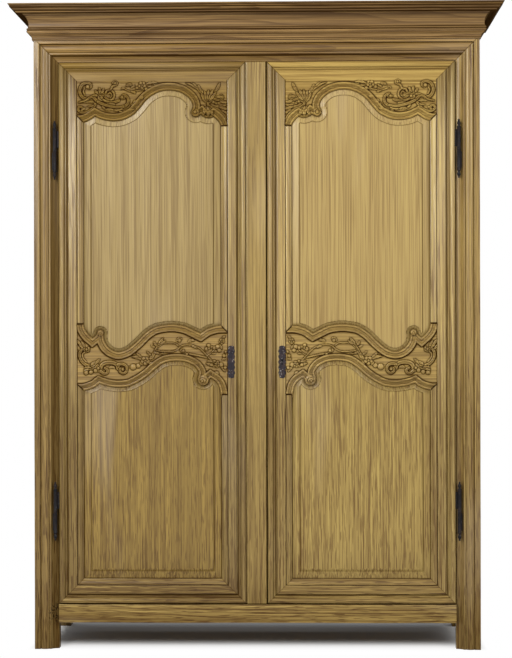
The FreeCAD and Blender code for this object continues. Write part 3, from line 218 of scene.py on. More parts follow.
def waxed_oak(name, grain, pale, deep, shift, rings=0.45, dashes=0.5, polish=0.36, gloss=0.3,
              low_darkening=0.0):
    """Old waxed oak whose fibres run along one axis, with dark wax and painted shade in the hollows and
    painted highlights on raised crests.
    """
    oak = bpy.data.materials.new(name)
    oak.use_nodes = True
    tree = oak.node_tree
    shader = tree.nodes["Principled BSDF"]
    where = tree.nodes.new("ShaderNodeTexCoord").outputs["Object"]
    along_axis = "XYZ".index(grain)

    def fibres(across, along, detail=3.0, rough=0.55, waver=0.0):
        stretch = [across, across, across]
        stretch[along_axis] = along
        lie = node_in(tree, "ShaderNodeMapping", Scale=stretch, Location=(shift, shift * 1.7, shift * 2.3))
        tree.links.new(where, lie.inputs["Vector"])
        strand = node_in(
            tree, "ShaderNodeTexNoise", Scale=1.0, Detail=detail, Roughness=rough, Distortion=waver
        )
        tree.links.new(lie.outputs[0], strand.inputs["Vector"])
        return strand.outputs["Fac"]

    section = [1.0, 0.62, 0.81]
    section[along_axis] = 0.02
    cut_across = node_in(tree, "ShaderNodeVectorMath", operation="DOT_PRODUCT")
    cut_across.inputs[1].default_value = section
    tree.links.new(where, cut_across.inputs[0])
    ring_gap = 0.013
    years = reckoned(tree, "MULTIPLY", cut_across.outputs["Value"], 1 / ring_gap)
    years = reckoned(tree, "ADD", years, reckoned(tree, "MULTIPLY", fibres(7, 0.75, 2.5, 0.5), 11.0))
    season = reckoned(tree, "FRACT", years, 0.0)
    late_wood = spread(tree, season, 0.55, 0.97, 0.0, 1.0)
    faint = spread(tree, fibres(16, 1.3, 2.0), 0.38, 0.62, 0.25, 1.0)
    wide_bands = fibres(20, 0.8, 2.0)
    fine_bands = reckoned(tree, "MULTIPLY", fibres(190, 1.2, 2.0), 1.3)
    broad = reckoned(tree, "ADD", wide_bands, fine_bands)
    short = fibres(270, 5, 1.0, 0.5)
    fleck = fibres(330, 15, 1.0, 0.5)
    thick = spread(tree, fibres(9, 2.0, 2.0), 0.40, 0.6, 0.2, 1.0)
    thread = fibres(300, 2.5, 1.0)
    bloom = fibres(5, 0.9, 2.0)
    wood = mixed(tree, spread(tree, broad, 0.82, 1.48), deep, pale)
    dark_line = tuple(part * share for part, share in zip(deep, (0.36, 0.24, 0.13, 1)))
    ring_share = reckoned(tree, "MULTIPLY", reckoned(tree, "MULTIPLY", late_wood, faint), rings)
    wood = mixed(tree, ring_share, wood, dark_line)
    pore = spread(tree, short, 0.535, 0.575)
    pore = reckoned(tree, "MULTIPLY", pore, spread(tree, season, 0.2, 0.7, 0.35, 1.0))
    pore_share = reckoned(tree, "MULTIPLY", reckoned(tree, "MULTIPLY", pore, thick), dashes)
    wood = mixed(tree, pore_share, wood, dark_line)
    height = tree.nodes.new("ShaderNodeSeparateXYZ")
    tree.links.new(where, height.inputs[0])
    level = height.outputs["Z"]
    scuffs = reckoned(tree, "MULTIPLY", spread(tree, fleck, 0.55, 0.62, 0.0, dashes),
                      spread(tree, level, 1.3, 0.25, 0.2, 0.9))
    wood = mixed(tree, scuffs, wood, dark_line)
    wood = mixed(tree, spread(tree, thread, 0.52, 0.59, 0.0, 0.42), wood, dark_line)
    wood = mixed(tree, spread(tree, bloom, 0.56, 0.74, 0.0, 0.16), wood, tone(206, 188, 158))
    hollow = tree.nodes.new("ShaderNodeAttribute")
    hollow.attribute_name = "hollow"
    # Raised spots are lightened: wear on their crests together with painted highlights.
    worn = spread(tree, hollow.outputs["Fac"], -0.15, -1.0, 0.0, 0.6)
    wood = mixed(tree, worn, wood, tone(205, 180, 122))
    # Painted shade: an ambient occlusion probe darkens nooks and creases along with the dark wax.
    occlusion_probe = node_in(tree, "ShaderNodeAmbientOcclusion", Distance=0.012, samples=6)
    occlusion_shade = spread(tree, occlusion_probe.outputs["AO"], 0.78, 0.25, 0.0, 0.88)
    splashed = spread(tree, level, 0.42, 0.0, 0.0, 0.42)
    # Darker from about 1.2 m downwards, and near the floor where it is splashed.
    darker_low = reckoned(tree, "MAXIMUM", splashed, spread(tree, level, 1.2, 0.75, 0.0, low_darkening))
    hollow_wax_and_shade = reckoned(tree, "MAXIMUM", hollow.outputs["Fac"], occlusion_shade)
    wax_dirt_and_shade = reckoned(tree, "MAXIMUM", hollow_wax_and_shade, darker_low)
    wood = mixed(tree, wax_dirt_and_shade, wood, tone(48, 29, 11))
    tree.links.new(wood, shader.inputs["Base Color"])
    clean = spread(tree, wax_dirt_and_shade, 0.05, 0.6, 1.0, 0.0)
    tree.links.new(reckoned(tree, "MULTIPLY", clean, gloss), shader.inputs["Specular IOR Level"])
    tree.links.new(reckoned(tree, "MULTIPLY", clean, gloss * 0.25), shader.inputs["Coat Weight"])
    open_pores = reckoned(tree, "MULTIPLY", pore_share, 0.25)
    dulled = reckoned(tree, "ADD", open_pores, spread(tree, broad, 0.8, 1.5, 0.1, 0.0))
    tree.links.new(reckoned(tree, "ADD", dulled, polish), shader.inputs["Roughness"])
    shader.inputs["Coat Roughness"].default_value = 0.16
    grain_depth = reckoned(tree, "ADD", thread, reckoned(tree, "MULTIPLY", pore_share, -2.0))
    relief = node_in(tree, "ShaderNodeBump", Strength=0.4, Distance=0.0008)
    tree.links.new(grain_depth, relief.inputs["Height"])
    tree.links.new(relief.outputs[0], shader.inputs["Normal"])
    return oak


def bow(start, end, rise, steps=10):
    """Points on a round from start up to, but without, end, its middle standing off the chord by rise."""
    start = np.array(start, float)
    end = np.array(end, float)
    chord = end - start
    half = np.hypot(*chord) / 2
    side = np.array([-chord[1], chord[0]]) / (2 * half)
    radius = (half**2 + rise**2) / (2 * abs(rise))
    centre = (start + end) / 2 + side * (rise - math.copysign(radius, rise))
    first = math.atan2(*(start - centre)[::-1])
    last = math.atan2(*(end - centre)[::-1])
    turn = (last - first + math.pi) % (2 * math.pi) - math.pi
    angles = [first + turn * i / steps for i in range(steps)]
    return [(centre[0] + radius * math.cos(a), centre[1] + radius * math.sin(a)) for a in angles]


def eased(outline, radius=0.0008, longest=0.004):
    """A closed outline with its sharp corners worn round and its long straights divided."""
    points = [np.array(p, float) for p in outline]
    worn = []
    for before, here, after in zip(points[-1:] + points[:-1], points, points[1:] + points[:1]):
        back = before - here
        ahead = after - here
        reach = min(radius, 0.4 * np.hypot(*back), 0.4 * np.hypot(*ahead))
        back = back / np.hypot(*back)
        ahead = ahead / np.hypot(*ahead)
        if back @ ahead < -0.86:
            worn.append(here)
        else:
            for t in (0.0, 0.5, 1.0):
                worn.append(here + back * reach * (1 - t) ** 2 + ahead * reach * t**2)
    divided = []
    for here, after in zip(worn, worn[1:] + worn[:1]):
        pieces = max(1, math.ceil(np.hypot(*(after - here)) / longest))
        divided += [here + (after - here) * i / pieces for i in range(pieces)]
    return np.array(divided)


def hollows(outline, window=0.006, full=0.0022):
    """How far each point of an outline lies behind its neighbours, from 0 on a crest to 1 in a quirk."""
    deep = []
    for u, d in outline:
        near = outline[(np.abs(outline[:, 0] - u) < window) & (np.abs(outline[:, 1] - d) < 0.016)]
        deep.append(np.clip((d - near[:, 1].mean()) / full, 0, 1))
    return np.array(deep)


def as_piece(name, shell, finish, body, slot, *replaced):
    """A shell made into a piece of the cupboard: finished, riding on its body and standing for its nodes."""
    points, faces, marks = shell
    crease = math.radians(38)
    mesh = bpy.data.meshes.new(name)
    mesh.from_pydata([tuple(p) for p in points], [], faces)
    mesh.validate()
    hollow = mesh.attributes.new("hollow", "FLOAT", "POINT")
    hollow.data.foreach_set("value", np.asarray(marks, np.float32))
    mesh.shade_smooth()
    mesh.set_sharp_from_angle(angle=crease)
    mesh.materials.append(finish)
    piece = bpy.data.objects.new(name, mesh)
    scene.collection.objects.link(piece)
    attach(piece, body)
    if replaced:
        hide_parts(*replaced)
    return piece


def run_of(outline, start, across, inward, along, length, foot=None, head=None, waver=0.0004, stain_and_painted_light=None):
    """Points, faces and hollows of a moulding run along a line, with dark joints where its ends are cut."""
    start, across, inward, along = (np.array(v, float) for v in (start, across, inward, along))
    count = len(outline)
    deep = hollows(outline)
    # The given marks carry stains and, on some runs, painted shade and painted light.
    if stain_and_painted_light:
        deep = [stain_and_painted_light(u, mark) for (u, d), mark in zip(outline, deep)]
    points = []
    marks = []
    joint_dirt = 0.0026
    joint = joint_dirt / length
    shares = [0, joint, *np.linspace(0, 1, max(3, int(length / 0.045)))[1:-1], 1 - joint, 1]
    stations = len(shares) - 1
    for share in shares:
        for (u, d), mark in zip(outline, deep):
            low = foot(u) if foot else 0.0
            high = head(u) if head else 0.0
            s = low + (length + high - low) * share
            spot = start + across * u + inward * d + along * s
            drift = noise.noise_vector(Vector(spot) * 4.3) + noise.noise_vector(Vector(spot) * 19) * 0.35
            ends = min(1.0, 14 * share, 14 * (1 - share))
            points.append(spot + np.array(drift) * waver * ends)
            marks.append(mark if 0 < share < 1 else max(mark, 0.85))
    faces = [tuple(reversed(range(count))), tuple(range(stations * count, (stations + 1) * count))]
    for i in range(stations):
        for j in range(count):
            k = (j + 1) % count
            faces.append((i * count + j, i * count + k, (i + 1) * count + k, (i + 1) * count + j))
    if np.cross(across, inward) @ along < 0:
        faces = [tuple(reversed(face)) for face in faces]
    return points, faces, marks


waver_seed = 7
noise.seed_set(waver_seed)


def worm_eaten(oak, spot, reach):
    """Dark crumbled holes in a finished oak within a reach of one spot, as in damp wood at a joint."""
    tree = oak.node_tree
    shader = tree.nodes["Principled BSDF"]
    plain = shader.inputs["Base Color"].links[0].from_socket
    where = tree.nodes.new("ShaderNodeTexCoord").outputs["Object"]
    off = node_in(tree, "ShaderNodeVectorMath", operation="SUBTRACT")
    off.inputs[1].default_value = spot
    tree.links.new(where, off.inputs[0])
    squeeze = node_in(tree, "ShaderNodeVectorMath", operation="MULTIPLY")
    squeeze.inputs[1].default_value = (1.6 / reach, 0, 1 / reach)
    tree.links.new(off.outputs[0], squeeze.inputs[0])
    far = node_in(tree, "ShaderNodeVectorMath", operation="LENGTH")
    tree.links.new(squeeze.outputs[0], far.inputs[0])
    holes = node_in(tree, "ShaderNodeTexNoise", Scale=140, Detail=2.0, Roughness=0.6)
    tree.links.new(where, holes.inputs["Vector"])
    crumbled = spread(tree, holes.outputs["Fac"], 0.52, 0.6)
    share = reckoned(tree, "MULTIPLY", crumbled, spread(tree, far.outputs["Value"], 1.0, 0.4))
    tree.links.new(mixed(tree, share, plain, tone(26, 17, 9)), shader.inputs["Base Color"])


post_low, post_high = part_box("front_post_left")
front = post_low.y
opening_half = -post_high.x
post_width = post_high.x - post_low.x
post_thick = post_high.y - post_low.y
carcass_top = post_high.z
stop_drop = 0.012
opening_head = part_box("front_top_rail")[0].z + stop_drop
cove_width = 0.026
fillet_width = 0.005
quirk_width = 0.0025
face_moulding = (
    bow((0, 0.020), (cove_width, 0.0035), 0.0045)
    + [(cove_width, 0.003), (cove_width + fillet_width, 0.003), (cove_width + fillet_width, 0.006)]
    + bow((cove_width + fillet_width + 0.001, 0.006), (0.060, 0.0042), -0.0055, 14)
    + [(0.060, 0.0045), (0.060 + quirk_width, 0.0045), (0.060 + quirk_width, 0.0)]
)
post_outline = eased(face_moulding + [(post_width, 0), (post_width, post_thick), (0, post_thick)])
# The left post's tones are painted darker than the right's: a painted fall of light across the front,
# brighter on the right.
post_pale_shaded_left = {-1: tone(154, 127, 73), 1: tone(160, 134, 77)}
post_deep_shaded_left = {-1: tone(114, 90, 46), 1: tone(132, 107, 58)}
# Painted light in the posts' coves: the left cove is painted dark as shade, the right cove a little pale as
# lit.
cove_painted_light = {-1: 0.55, 1: -0.25}
cove_end = 0.023
worm_spot = (-0.692, front, 0.122)
worm_reach = 0.048
for side, hand in ((-1, "left"), (1, "right")):
    post_oak = waxed_oak(f"post_oak_{hand}", "Z", post_pale_shaded_left[side], post_deep_shaded_left[side], 3.1 + side, rings=0.4,
                         dashes=0.9, polish=0.27, gloss=0.3, low_darkening=0.2)
    post_run = run_of(
        post_outline, (side * opening_half, front, 0), (side, 0, 0), (0, 1, 0), (0, 0, 1),
        opening_head, head=lambda u: min(u, carcass_top - opening_head),
        stain_and_painted_light=lambda u, mark: cove_painted_light[side] if u < cove_end else 0.7 * mark,
    )
    if side < 0:
        worm_eaten(post_oak, worm_spot, worm_reach)
    as_piece(f"moulded_post_{hand}", post_run, post_oak, "carcass", "oak_frame", f"front_post_{hand}")


# The front top rail: oak with the same moulding as the posts, mitred to them at both ends. Behind the face
# a stop for the doors hangs below it, with a socket cut through for the upper bolt.
rail_thick = 0.055
rail_tall = carcass_top - opening_head
stop_depth = 0.0325
bolt_low, bolt_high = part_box("top_bolt")
bolt_room = 0.0015
socket_top = 0.022
top_outline = eased(face_moulding + [(rail_tall, 0), (rail_tall, stop_depth), (0, stop_depth)])
stop_outline = eased([(-stop_drop, stop_depth), (socket_top, stop_depth), (socket_top, rail_thick),
                      (-stop_drop, rail_thick)])
core_outline = eased([(socket_top, stop_depth), (rail_tall, stop_depth), (rail_tall, rail_thick),
                      (socket_top, rail_thick)])
rail_oak = waxed_oak("top_rail_oak", "X", tone(142, 111, 54), tone(100, 73, 31), 7.7, 0.4, 0.7)


def to_post(u):
    """How far the mitred rail runs past the opening at a height up its moulding."""
    return min(max(u, 0.0), post_width)


def joined(*shells):
    """Several shells as the points, faces and hollows of one mesh."""
    points = []
    faces = []
    marks = []
    for more_points, more_faces, more_marks in shells:
        base = len(points)
        points += list(more_points)
        faces += [tuple(i + base for i in face) for face in more_faces]
        marks += list(more_marks)
    return points, faces, marks


rail_way = ((0, 0, 1), (0, 1, 0), (1, 0, 0))
rail_start = (-opening_half, front, opening_head)
socket_start = bolt_low.x - bolt_room
socket_end = bolt_high.x + bolt_room
rail_run = joined(
    run_of(top_outline, rail_start, *rail_way, 2 * opening_half, foot=lambda u: -to_post(u), head=to_post),
    run_of(core_outline, rail_start, *rail_way, 2 * opening_half, waver=0.0),
    run_of(stop_outline, rail_start, *rail_way, socket_start + opening_half, waver=0.0),
    run_of(stop_outline, (socket_end, front, opening_head), *rail_way, opening_half - socket_end,
           waver=0.0),
)
as_piece("moulded_top_rail", rail_run, rail_oak, "carcass", "oak_frame", "front_top_rail")


# The apron: a plain oak rail under the doors, tenoned and pegged between the front posts.
# It is planed flat and set a little behind their faces, and its arrises are worn round.
apron_low, apron_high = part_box("front_bottom_rail")
apron_face = front + 0.003
apron_tall = apron_high.z - apron_low.z
apron_thick = 0.040
apron_outline = eased([(0, 0), (apron_tall, 0), (apron_tall, apron_thick), (0, apron_thick)], radius=0.003)
apron_oak = waxed_oak("apron_oak", "X", tone(188, 159, 90), tone(128, 101, 49), 1.3, dashes=0.85)
apron_run = run_of(apron_outline, (-opening_half, apron_face, apron_low.z), (0, 0, 1), (0, 1, 0), (1, 0, 0),
                   2 * opening_half, waver=0.0012)
as_piece("apron_rail", apron_run, apron_oak, "carcass", "oak_frame", "front_bottom_rail")


# The cornice: three lengths of moulded oak, mitred at the front corners, with a deep cove between
# beads and a broad fascia on top. It is made up apart and sits down over the posts.
cornice_low, cornice_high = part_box("cornice_front")
body_half = post_width + opening_half
cornice_tall = cornice_high.z - cornice_low.z
cornice_out = front - cornice_low.y
seat = 0.022
post_cover = 0.027
bead_edges = (0.045, 0.18, 0.29, 0.345, 0.75, 0.81, 0.89, 0.945)


def up_face(out, up):
    """A point of the cornice's face from shares of its projection and height."""
    return up * cornice_tall, cornice_out * (1 - out)


cornice_outline = eased(
    [up_face(0.06, 0), up_face(0.06, 0.03)]
    + bow(up_face(0.07, 0.04), up_face(0.17, 0.16), 0.003, 7)
    + [up_face(0.19, 0.165), up_face(0.19, 0.2), up_face(0.23, 0.2)]
    + bow(up_face(0.23, 0.21), up_face(0.23, 0.28), -0.0036, 8)
    + [up_face(0.23, 0.285), up_face(0.27, 0.29), up_face(0.27, 0.335), up_face(0.24, 0.34)]
    + bow(up_face(0.22, 0.355), up_face(0.44, 0.745), 0.0075, 14)
    + [up_face(0.46, 0.757), up_face(0.70, 0.757), up_face(0.71, 0.80), up_face(0.74, 0.805)]
    + bow(up_face(0.74, 0.815), up_face(0.85, 0.885), -0.0022, 8)
    + [up_face(0.855, 0.89), up_face(0.93, 0.895), up_face(0.94, 0.935), up_face(0.93, 0.94),
       up_face(0.935, 0.957), up_face(0.98, 0.962), up_face(1, 1)]
    + [(cornice_tall, cornice_out + seat), (post_cover, cornice_out + seat), (post_cover, cornice_out),
       (0, cornice_out)]
)
cornice_oak = waxed_oak("cornice_oak", "X", tone(146, 115, 68), tone(96, 71, 38), 5.2, gloss=0.2)
# The returns are a darker copy of the cornice's oak: painted shade on the sides that face away from the
# light.
shaded_return_oak = waxed_oak("cornice_return_shaded_oak", "Y", tone(120, 94, 56), tone(80, 60, 33), 6.4, gloss=0.0)
front_reach = body_half + cornice_out


def cornice_stain_and_shade(u, mark):
    """The cornice has dark lines of wax and painted shade under the edges of its beads, dust and smoke on
    its fascia, a cove a little darker towards its top and a slightly darker foot.
    """
    share = u / cornice_tall
    if 0.37 < share < 0.74:
        return 0.12 + 0.2 * (share - 0.37)
    wax_and_shade_under_edge = any(abs(share - edge) < 0.012 for edge in bead_edges)
    return max(0.6 * mark, 0.85 * wax_and_shade_under_edge, 0.3 * (share > 0.75), 0.12 * (share < 0.16))


def mitred_run(outline, start, across, inward, along, length, both):
    """A cornice length whose mitred ends draw in with the depth of each point."""
    points, faces, marks = run_of(outline, start, across, inward, along, length, stain_and_painted_light=cornice_stain_and_shade)
    count = len(outline)
    for i in range(len(points) // count):
        share = (points[i * count] - np.array(start)) @ np.array(along) / length
        for j, (u, d) in enumerate(outline):
            pull = d * (1 - share) - (d * share if both else 0)
            points[i * count + j] = points[i * count + j] + np.array(along) * pull
    return points, faces, marks


front_run = mitred_run(cornice_outline, (-front_reach, cornice_low.y, cornice_low.z), (0, 0, 1), (0, 1, 0),
                       (1, 0, 0), 2 * front_reach, True)
as_piece("cornice_face", front_run, cornice_oak, "carcass", "oak_frame", "cornice_front")
for side, hand in ((-1, "left"), (1, "right")):
    back_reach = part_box(f"cornice_{hand}")[1].y - cornice_low.y
    side_run = mitred_run(cornice_outline, (side * front_reach, cornice_low.y, cornice_low.z), (0, 0, 1),
                          (-side, 0, 0), (0, 1, 0), back_reach, False)
    as_piece(f"cornice_return_{hand}", side_run, shaded_return_oak, "carcass", "oak_frame", f"cornice_{hand}")


# The door stiles: long oak uprights, moulded on the outer edge with a half round and a bead, and on the
# inner edge with a sticking that holds the panels. The sticking stops where the carved rails are tenoned in.
door_low, door_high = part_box("left_hinge_stile")
door_foot = door_low.z
door_head = door_high.z
hinge_edge = -door_low.x
lock_edge = -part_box("left_lock_stile")[1].x
door_width = hinge_edge - lock_edge
stile_width = door_high.x - door_low.x
door_thick = door_high.y - front
rim_width = 0.034
band_depth = 0.004
sticking_start = 0.062
panel_seat = 0.0155
rim_moulding = (
    bow((0, 0.009), (0.020, 0.009), -0.0089, 16)
    + [(0.0205, 0.0095), (0.0245, 0.0095)]
    + bow((0.0250, 0.0092), (0.0312, 0.0092), -0.0042, 9)
    + [(0.0318, 0.0098), (rim_width, 0.0098), (rim_width, band_depth)]
)
sticking_moulding = (
    [(sticking_start, band_depth), (sticking_start, 0.0078), (sticking_start + 0.0022, 0.0078)]
    + bow((sticking_start + 0.0022, 0.0052), (stile_width - 0.0032, 0.0118), -0.0032, 12)
    + [(stile_width - 0.0032, 0.0122), (stile_width, 0.0126)]
)
stile_outline = eased(rim_moulding + sticking_moulding + [(stile_width, door_thick), (0, door_thick)])
band_outline = eased(rim_moulding + [(sticking_start, band_depth), (sticking_start, door_thick),
                                     (0, door_thick)])
lip_outline = eased(sticking_moulding[1:] + [(stile_width, door_thick), (sticking_start, door_thick)])
foot_end = {"hinge": 0.884, "lock": 0.869}
head_end = {"hinge": 1.1153, "lock": 1.1065}
crest_end = {"hinge": 1.8039, "lock": 1.7885}
darkening_from = 1.68
head_darkening = {"hinge": 0.5, "lock": 0.34}
quirk_end = sticking_start + 0.0026
door_slots = {-1: ("left", "left_door"), 1: ("right", "right_door")}
# The left door's stiles are painted darker than the right's: a painted fall of light across the front,
# brighter on the right.
stile_pale_shaded_left = {(-1, "hinge"): tone(162, 137, 80), (-1, "lock"): tone(172, 147, 87),
              (1, "hinge"): tone(186, 161, 98), (1, "lock"): tone(174, 148, 87)}
stile_deep_shaded_left = {(-1, "hinge"): tone(128, 104, 56), (-1, "lock"): tone(132, 108, 58),
              (1, "hinge"): tone(148, 123, 70), (1, "lock"): tone(136, 111, 60)}


def quirk_dirt(u, mark):
    """The narrow groove beside the flat band holds old wax."""
    return 0.9 if u < quirk_end else mark


def darkened_to_head(run, most):
    """A run whose upper end is darkened, its sheen dulled with it, up to the door's head."""
    points, faces, marks = run
    share = [min(1.0, max(0.0, (p[2] - darkening_from) / (door_head - darkening_from))) for p in points]
    return points, faces, [max(mark, most * s) for mark, s in zip(marks, share)]


for side, (hand, body) in door_slots.items():
    for stile, edge, across in (("hinge", hinge_edge, -side), ("lock", lock_edge, side)):
        stile_oak = waxed_oak(f"{stile}_stile_oak_{hand}", "Z", stile_pale_shaded_left[side, stile],
                              stile_deep_shaded_left[side, stile], 11.5 + side + 0.37 * edge, rings=0.4, dashes=0.75,
                              polish=0.25, gloss=0.45, low_darkening=0.32)
        run_up = ((across, 0, 0), (0, 1, 0), (0, 0, 1))
        band = run_of(band_outline, (side * edge, front, door_foot), *run_up, door_head - door_foot,
                      foot=lambda u: u, head=lambda u: -u)
        hinge_mitre = 1 if stile == "hinge" else 0
        lock_mitre = 1 - hinge_mitre
        low_lip = run_of(lip_outline, (side * edge, front, door_foot), *run_up, foot_end[stile] - door_foot,
                         foot=lambda u: u, head=lambda u: hinge_mitre * (stile_width - u), stain_and_painted_light=quirk_dirt)
        high_lip = run_of(lip_outline, (side * edge, front, head_end[stile]), *run_up,
                          crest_end[stile] - head_end[stile], foot=lambda u: -lock_mitre * (stile_width - u),
                          head=lambda u: hinge_mitre * (stile_width - u), stain_and_painted_light=quirk_dirt)
        upright = joined(darkened_to_head(band, head_darkening[stile]), low_lip, high_lip)
        as_piece(f"{hand}_{stile}_upright", upright, stile_oak, body, "oak_frame", f"{hand}_{stile}_stile")


# The bottom rails of the doors: oak with the stiles' moulding laid level. They are tenoned into the stiles
# and mitred to them over the full width of the moulding.
foot_pale = tone(182, 153, 88)
foot_deep = tone(118, 93, 46)
for side, (hand, body) in door_slots.items():
    foot_oak = waxed_oak(f"foot_rail_oak_{hand}", "X", foot_pale, foot_deep, 17 + side, 0.5, 0.8)
    foot_run = run_of(
        stile_outline, (side * hinge_edge, front, door_foot), (0, 0, 1), (0, 1, 0), (-side, 0, 0),
        door_width, foot=lambda u: u, head=lambda u: -u,
    )
    as_piece(f"{hand}_foot_rail", foot_run, foot_oak, body, "oak_frame", f"{hand}_bottom_rail")


# The false post: a flat oak strip between the doors, tongued to the left door's lock stile.
# It covers the join, with a quirk along its left edge and a worn round along its right one.
strip_left = -lock_edge
strip_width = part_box("false_post")[1].x - strip_left
strip_face = 0.002
strip_quirk = 0.0035
strip_round = strip_width - 0.006
strip_outline = eased(
    [(0, 0.006), (strip_quirk, 0.006), (strip_quirk, strip_face), (strip_round, strip_face)]
    + bow((strip_round, strip_face), (strip_width, 0.0075), -0.0018, 5)
    + [(strip_width, 0.008), (strip_width, door_thick), (0, door_thick)]
)
strip_oak = waxed_oak("false_post_oak", "Z", tone(158, 133, 74), tone(132, 108, 55), 23.0, 0.25, 0.6,
                      low_darkening=0.1)
strip_run = run_of(strip_outline, (strip_left, front, door_foot), (1, 0, 0), (0, 1, 0), (0, 0, 1),
                   door_head - door_foot)
as_piece("false_post_strip", strip_run, strip_oak, "left_door", "oak_frame", "false_post")


# The carved top rails: one thick oak rail to each door, tenoned into the stiles. The sticking of its
# serpentine lower edge ends in small volutes, and the sunk ground is carved with scrolls and leaves.
rail_reach = 0.022
panel_hinge_side = hinge_edge - stile_width
panel_width = door_width - 2 * stile_width
crest_depth = 0.216
grid_step = 0.0015
lip_line = 0.0046
lip_quirk = 0.0086
bead_line = 0.0203
moulding_end = 0.0235
ground_start = 0.0243
end_joint = 0.0045
stile_joint = 0.0024
ground_sink = 0.0014
motif_seat = 0.0012
flat_band = 0.031


def smooth_line(points):
    """A curve through a few points, as many short straights."""
    points = np.array(points, float)
    before = 2 * points[0] - points[1]
    after = 2 * points[-1] - points[-2]
    guides = np.vstack([before, points, after])
    ends = []
    for a, b, c, d in zip(guides, guides[1:], guides[2:], guides[3:]):
        for t in np.linspace(0, 1, 12, endpoint=False):
            ends.append(0.5 * (2 * b + (c - a) * t + (2 * a - 5 * b + 4 * c - d) * t**2
                               + (3 * b - a - 3 * c + d) * t**3))
    return np.array(ends + [points[-1]])


def off_line(path, spots):
    """Signed distance of many spots from a line of straights, above zero on its left, with sharp mitres."""
    best = np.full(len(spots), 1e9)
    nearest = np.zeros(len(spots), int)
    at_end = np.zeros(len(spots), int)
    runs = path[1:] - path[:-1]
    lengths = np.hypot(runs[:, 0], runs[:, 1])
    for k, (a, run, span) in enumerate(zip(path, runs, lengths)):
        t = ((spots - a) @ run) / span**2
        held = np.clip(t, 0, 1)
        gap = spots - a - held[:, None] * run
        far = np.hypot(gap[:, 0], gap[:, 1])
        nearer = far < best - 1e-12
        best = np.where(nearer, far, best)
        nearest = np.where(nearer, k, nearest)
        at_end = np.where(nearer, np.where(t < 0, -1, np.where(t > 1, 1, 0)), at_end)

    def off_straight(k):
        turn = runs[k, 0] * (spots[:, 1] - path[k, 1]) - runs[k, 1] * (spots[:, 0] - path[k, 0])
        return turn / lengths[k]

    own = off_straight(nearest)
    other = off_straight(np.clip(nearest + at_end, 0, len(runs) - 1))
    hand = np.sign(own + other)
    return hand * np.maximum(hand * own, hand * other)


def crest_spot(across, down):
    """A spot on a door from shares of the panel's width and of the top rail's depth."""
    return across * panel_width, door_head - down * crest_depth


def round_between(start, middle, end, steps=12):
    """Points on the circle through three points, ends included."""
    ax, ay, bx, by, cx, cy = *start, *middle, *end
    twice = 2 * (ax * (by - cy) + bx * (cy - ay) + cx * (ay - by))
    ux = ((ax**2 + ay**2) * (by - cy) + (bx**2 + by**2) * (cy - ay) + (cx**2 + cy**2) * (ay - by)) / twice
    uy = ((ax**2 + ay**2) * (cx - bx) + (bx**2 + by**2) * (ax - cx) + (cx**2 + cy**2) * (bx - ax)) / twice
    radius = math.hypot(ax - ux, ay - uy)
    a, b, c = (math.atan2(y - uy, x - ux) for x, y in (start, middle, end))
    turn = (c - a) % (2 * math.pi)
    if (b - a) % (2 * math.pi) > turn:
        turn -= 2 * math.pi
    return [(ux + radius * math.cos(a + turn * i / steps), uy + radius * math.sin(a + turn * i / steps))
            for i in range(steps + 1)]


crest_edge = np.vstack([
    [crest_spot(-0.12, 0.945)],
    smooth_line([crest_spot(*p) for p in ((0, 0.945), (0.045, 0.905), (0.089, 0.842))])[:-1],
    smooth_line([crest_spot(*p) for p in (
        (0.089, 0.842), (0.12, 0.878), (0.167, 0.909), (0.232, 0.922), (0.298, 0.895), (0.363, 0.822),
        (0.412, 0.71), (0.46, 0.584), (0.518, 0.493), (0.575, 0.447), (0.641, 0.439), (0.706, 0.470),
        (0.752, 0.529), (0.783, 0.60), (0.797, 0.675), (0.795, 0.73))])[:-1],
    round_between(crest_spot(0.788, 0.754), crest_spot(0.792, 0.839), crest_spot(0.839, 0.841)),
    round_between(crest_spot(0.855, 0.823), crest_spot(0.908, 0.882), crest_spot(0.945, 0.858)),
    smooth_line([crest_spot(*p) for p in ((0.947, 0.861), (0.970, 0.905), (0.988, 0.956), (1, 1.016))]),
    [crest_spot(1, 1.5)],
])
def over_crest(spots):
    """How far inside the top rail's wood each spot lies, above its serpentine edge."""
    return off_line(crest_edge, spots)


def sticking_depth(inside):
    """Depth of the serpentine moulding behind the door's front, by distance in from the opening."""
    stretch = np.array([-0.0030, -0.0004, 0.0003, 0.0020, 0.0045, 0.0070, 0.0085, 0.0105, 0.0130, 0.0152,
                        0.0170, 0.0180, 0.0195, 0.0215, 0.0230, 0.0238, ground_start, 0.0400])
    depth = np.array([0.0240, 0.0180, 0.0120, 0.0100, 0.0088, 0.0092, 0.0112, 0.0108, 0.0088, 0.0062,
                      0.0040, 0.0022, 0.0010, 0.0008, 0.0014, 0.0026, band_depth, band_depth])
    return np.interp(inside, stretch, depth)


# The carver's strokes are placed in pixels of the photograph's 512 by 658 frame, on its right door.
# A ribbon has its route, its half width at both ends and its height in millimetres, a leaf has its base,
# bend and tip, its width and its height, and a berry or a flower has its middle and its radius.
pixel = 0.00341
middle_column = 257.3
floor_row = 649.5


def from_pixel(column, row):
    """A spot on a door from a pixel of the photograph on its right door."""
    return panel_hinge_side - (column - middle_column) * pixel, (floor_row - row) * pixel


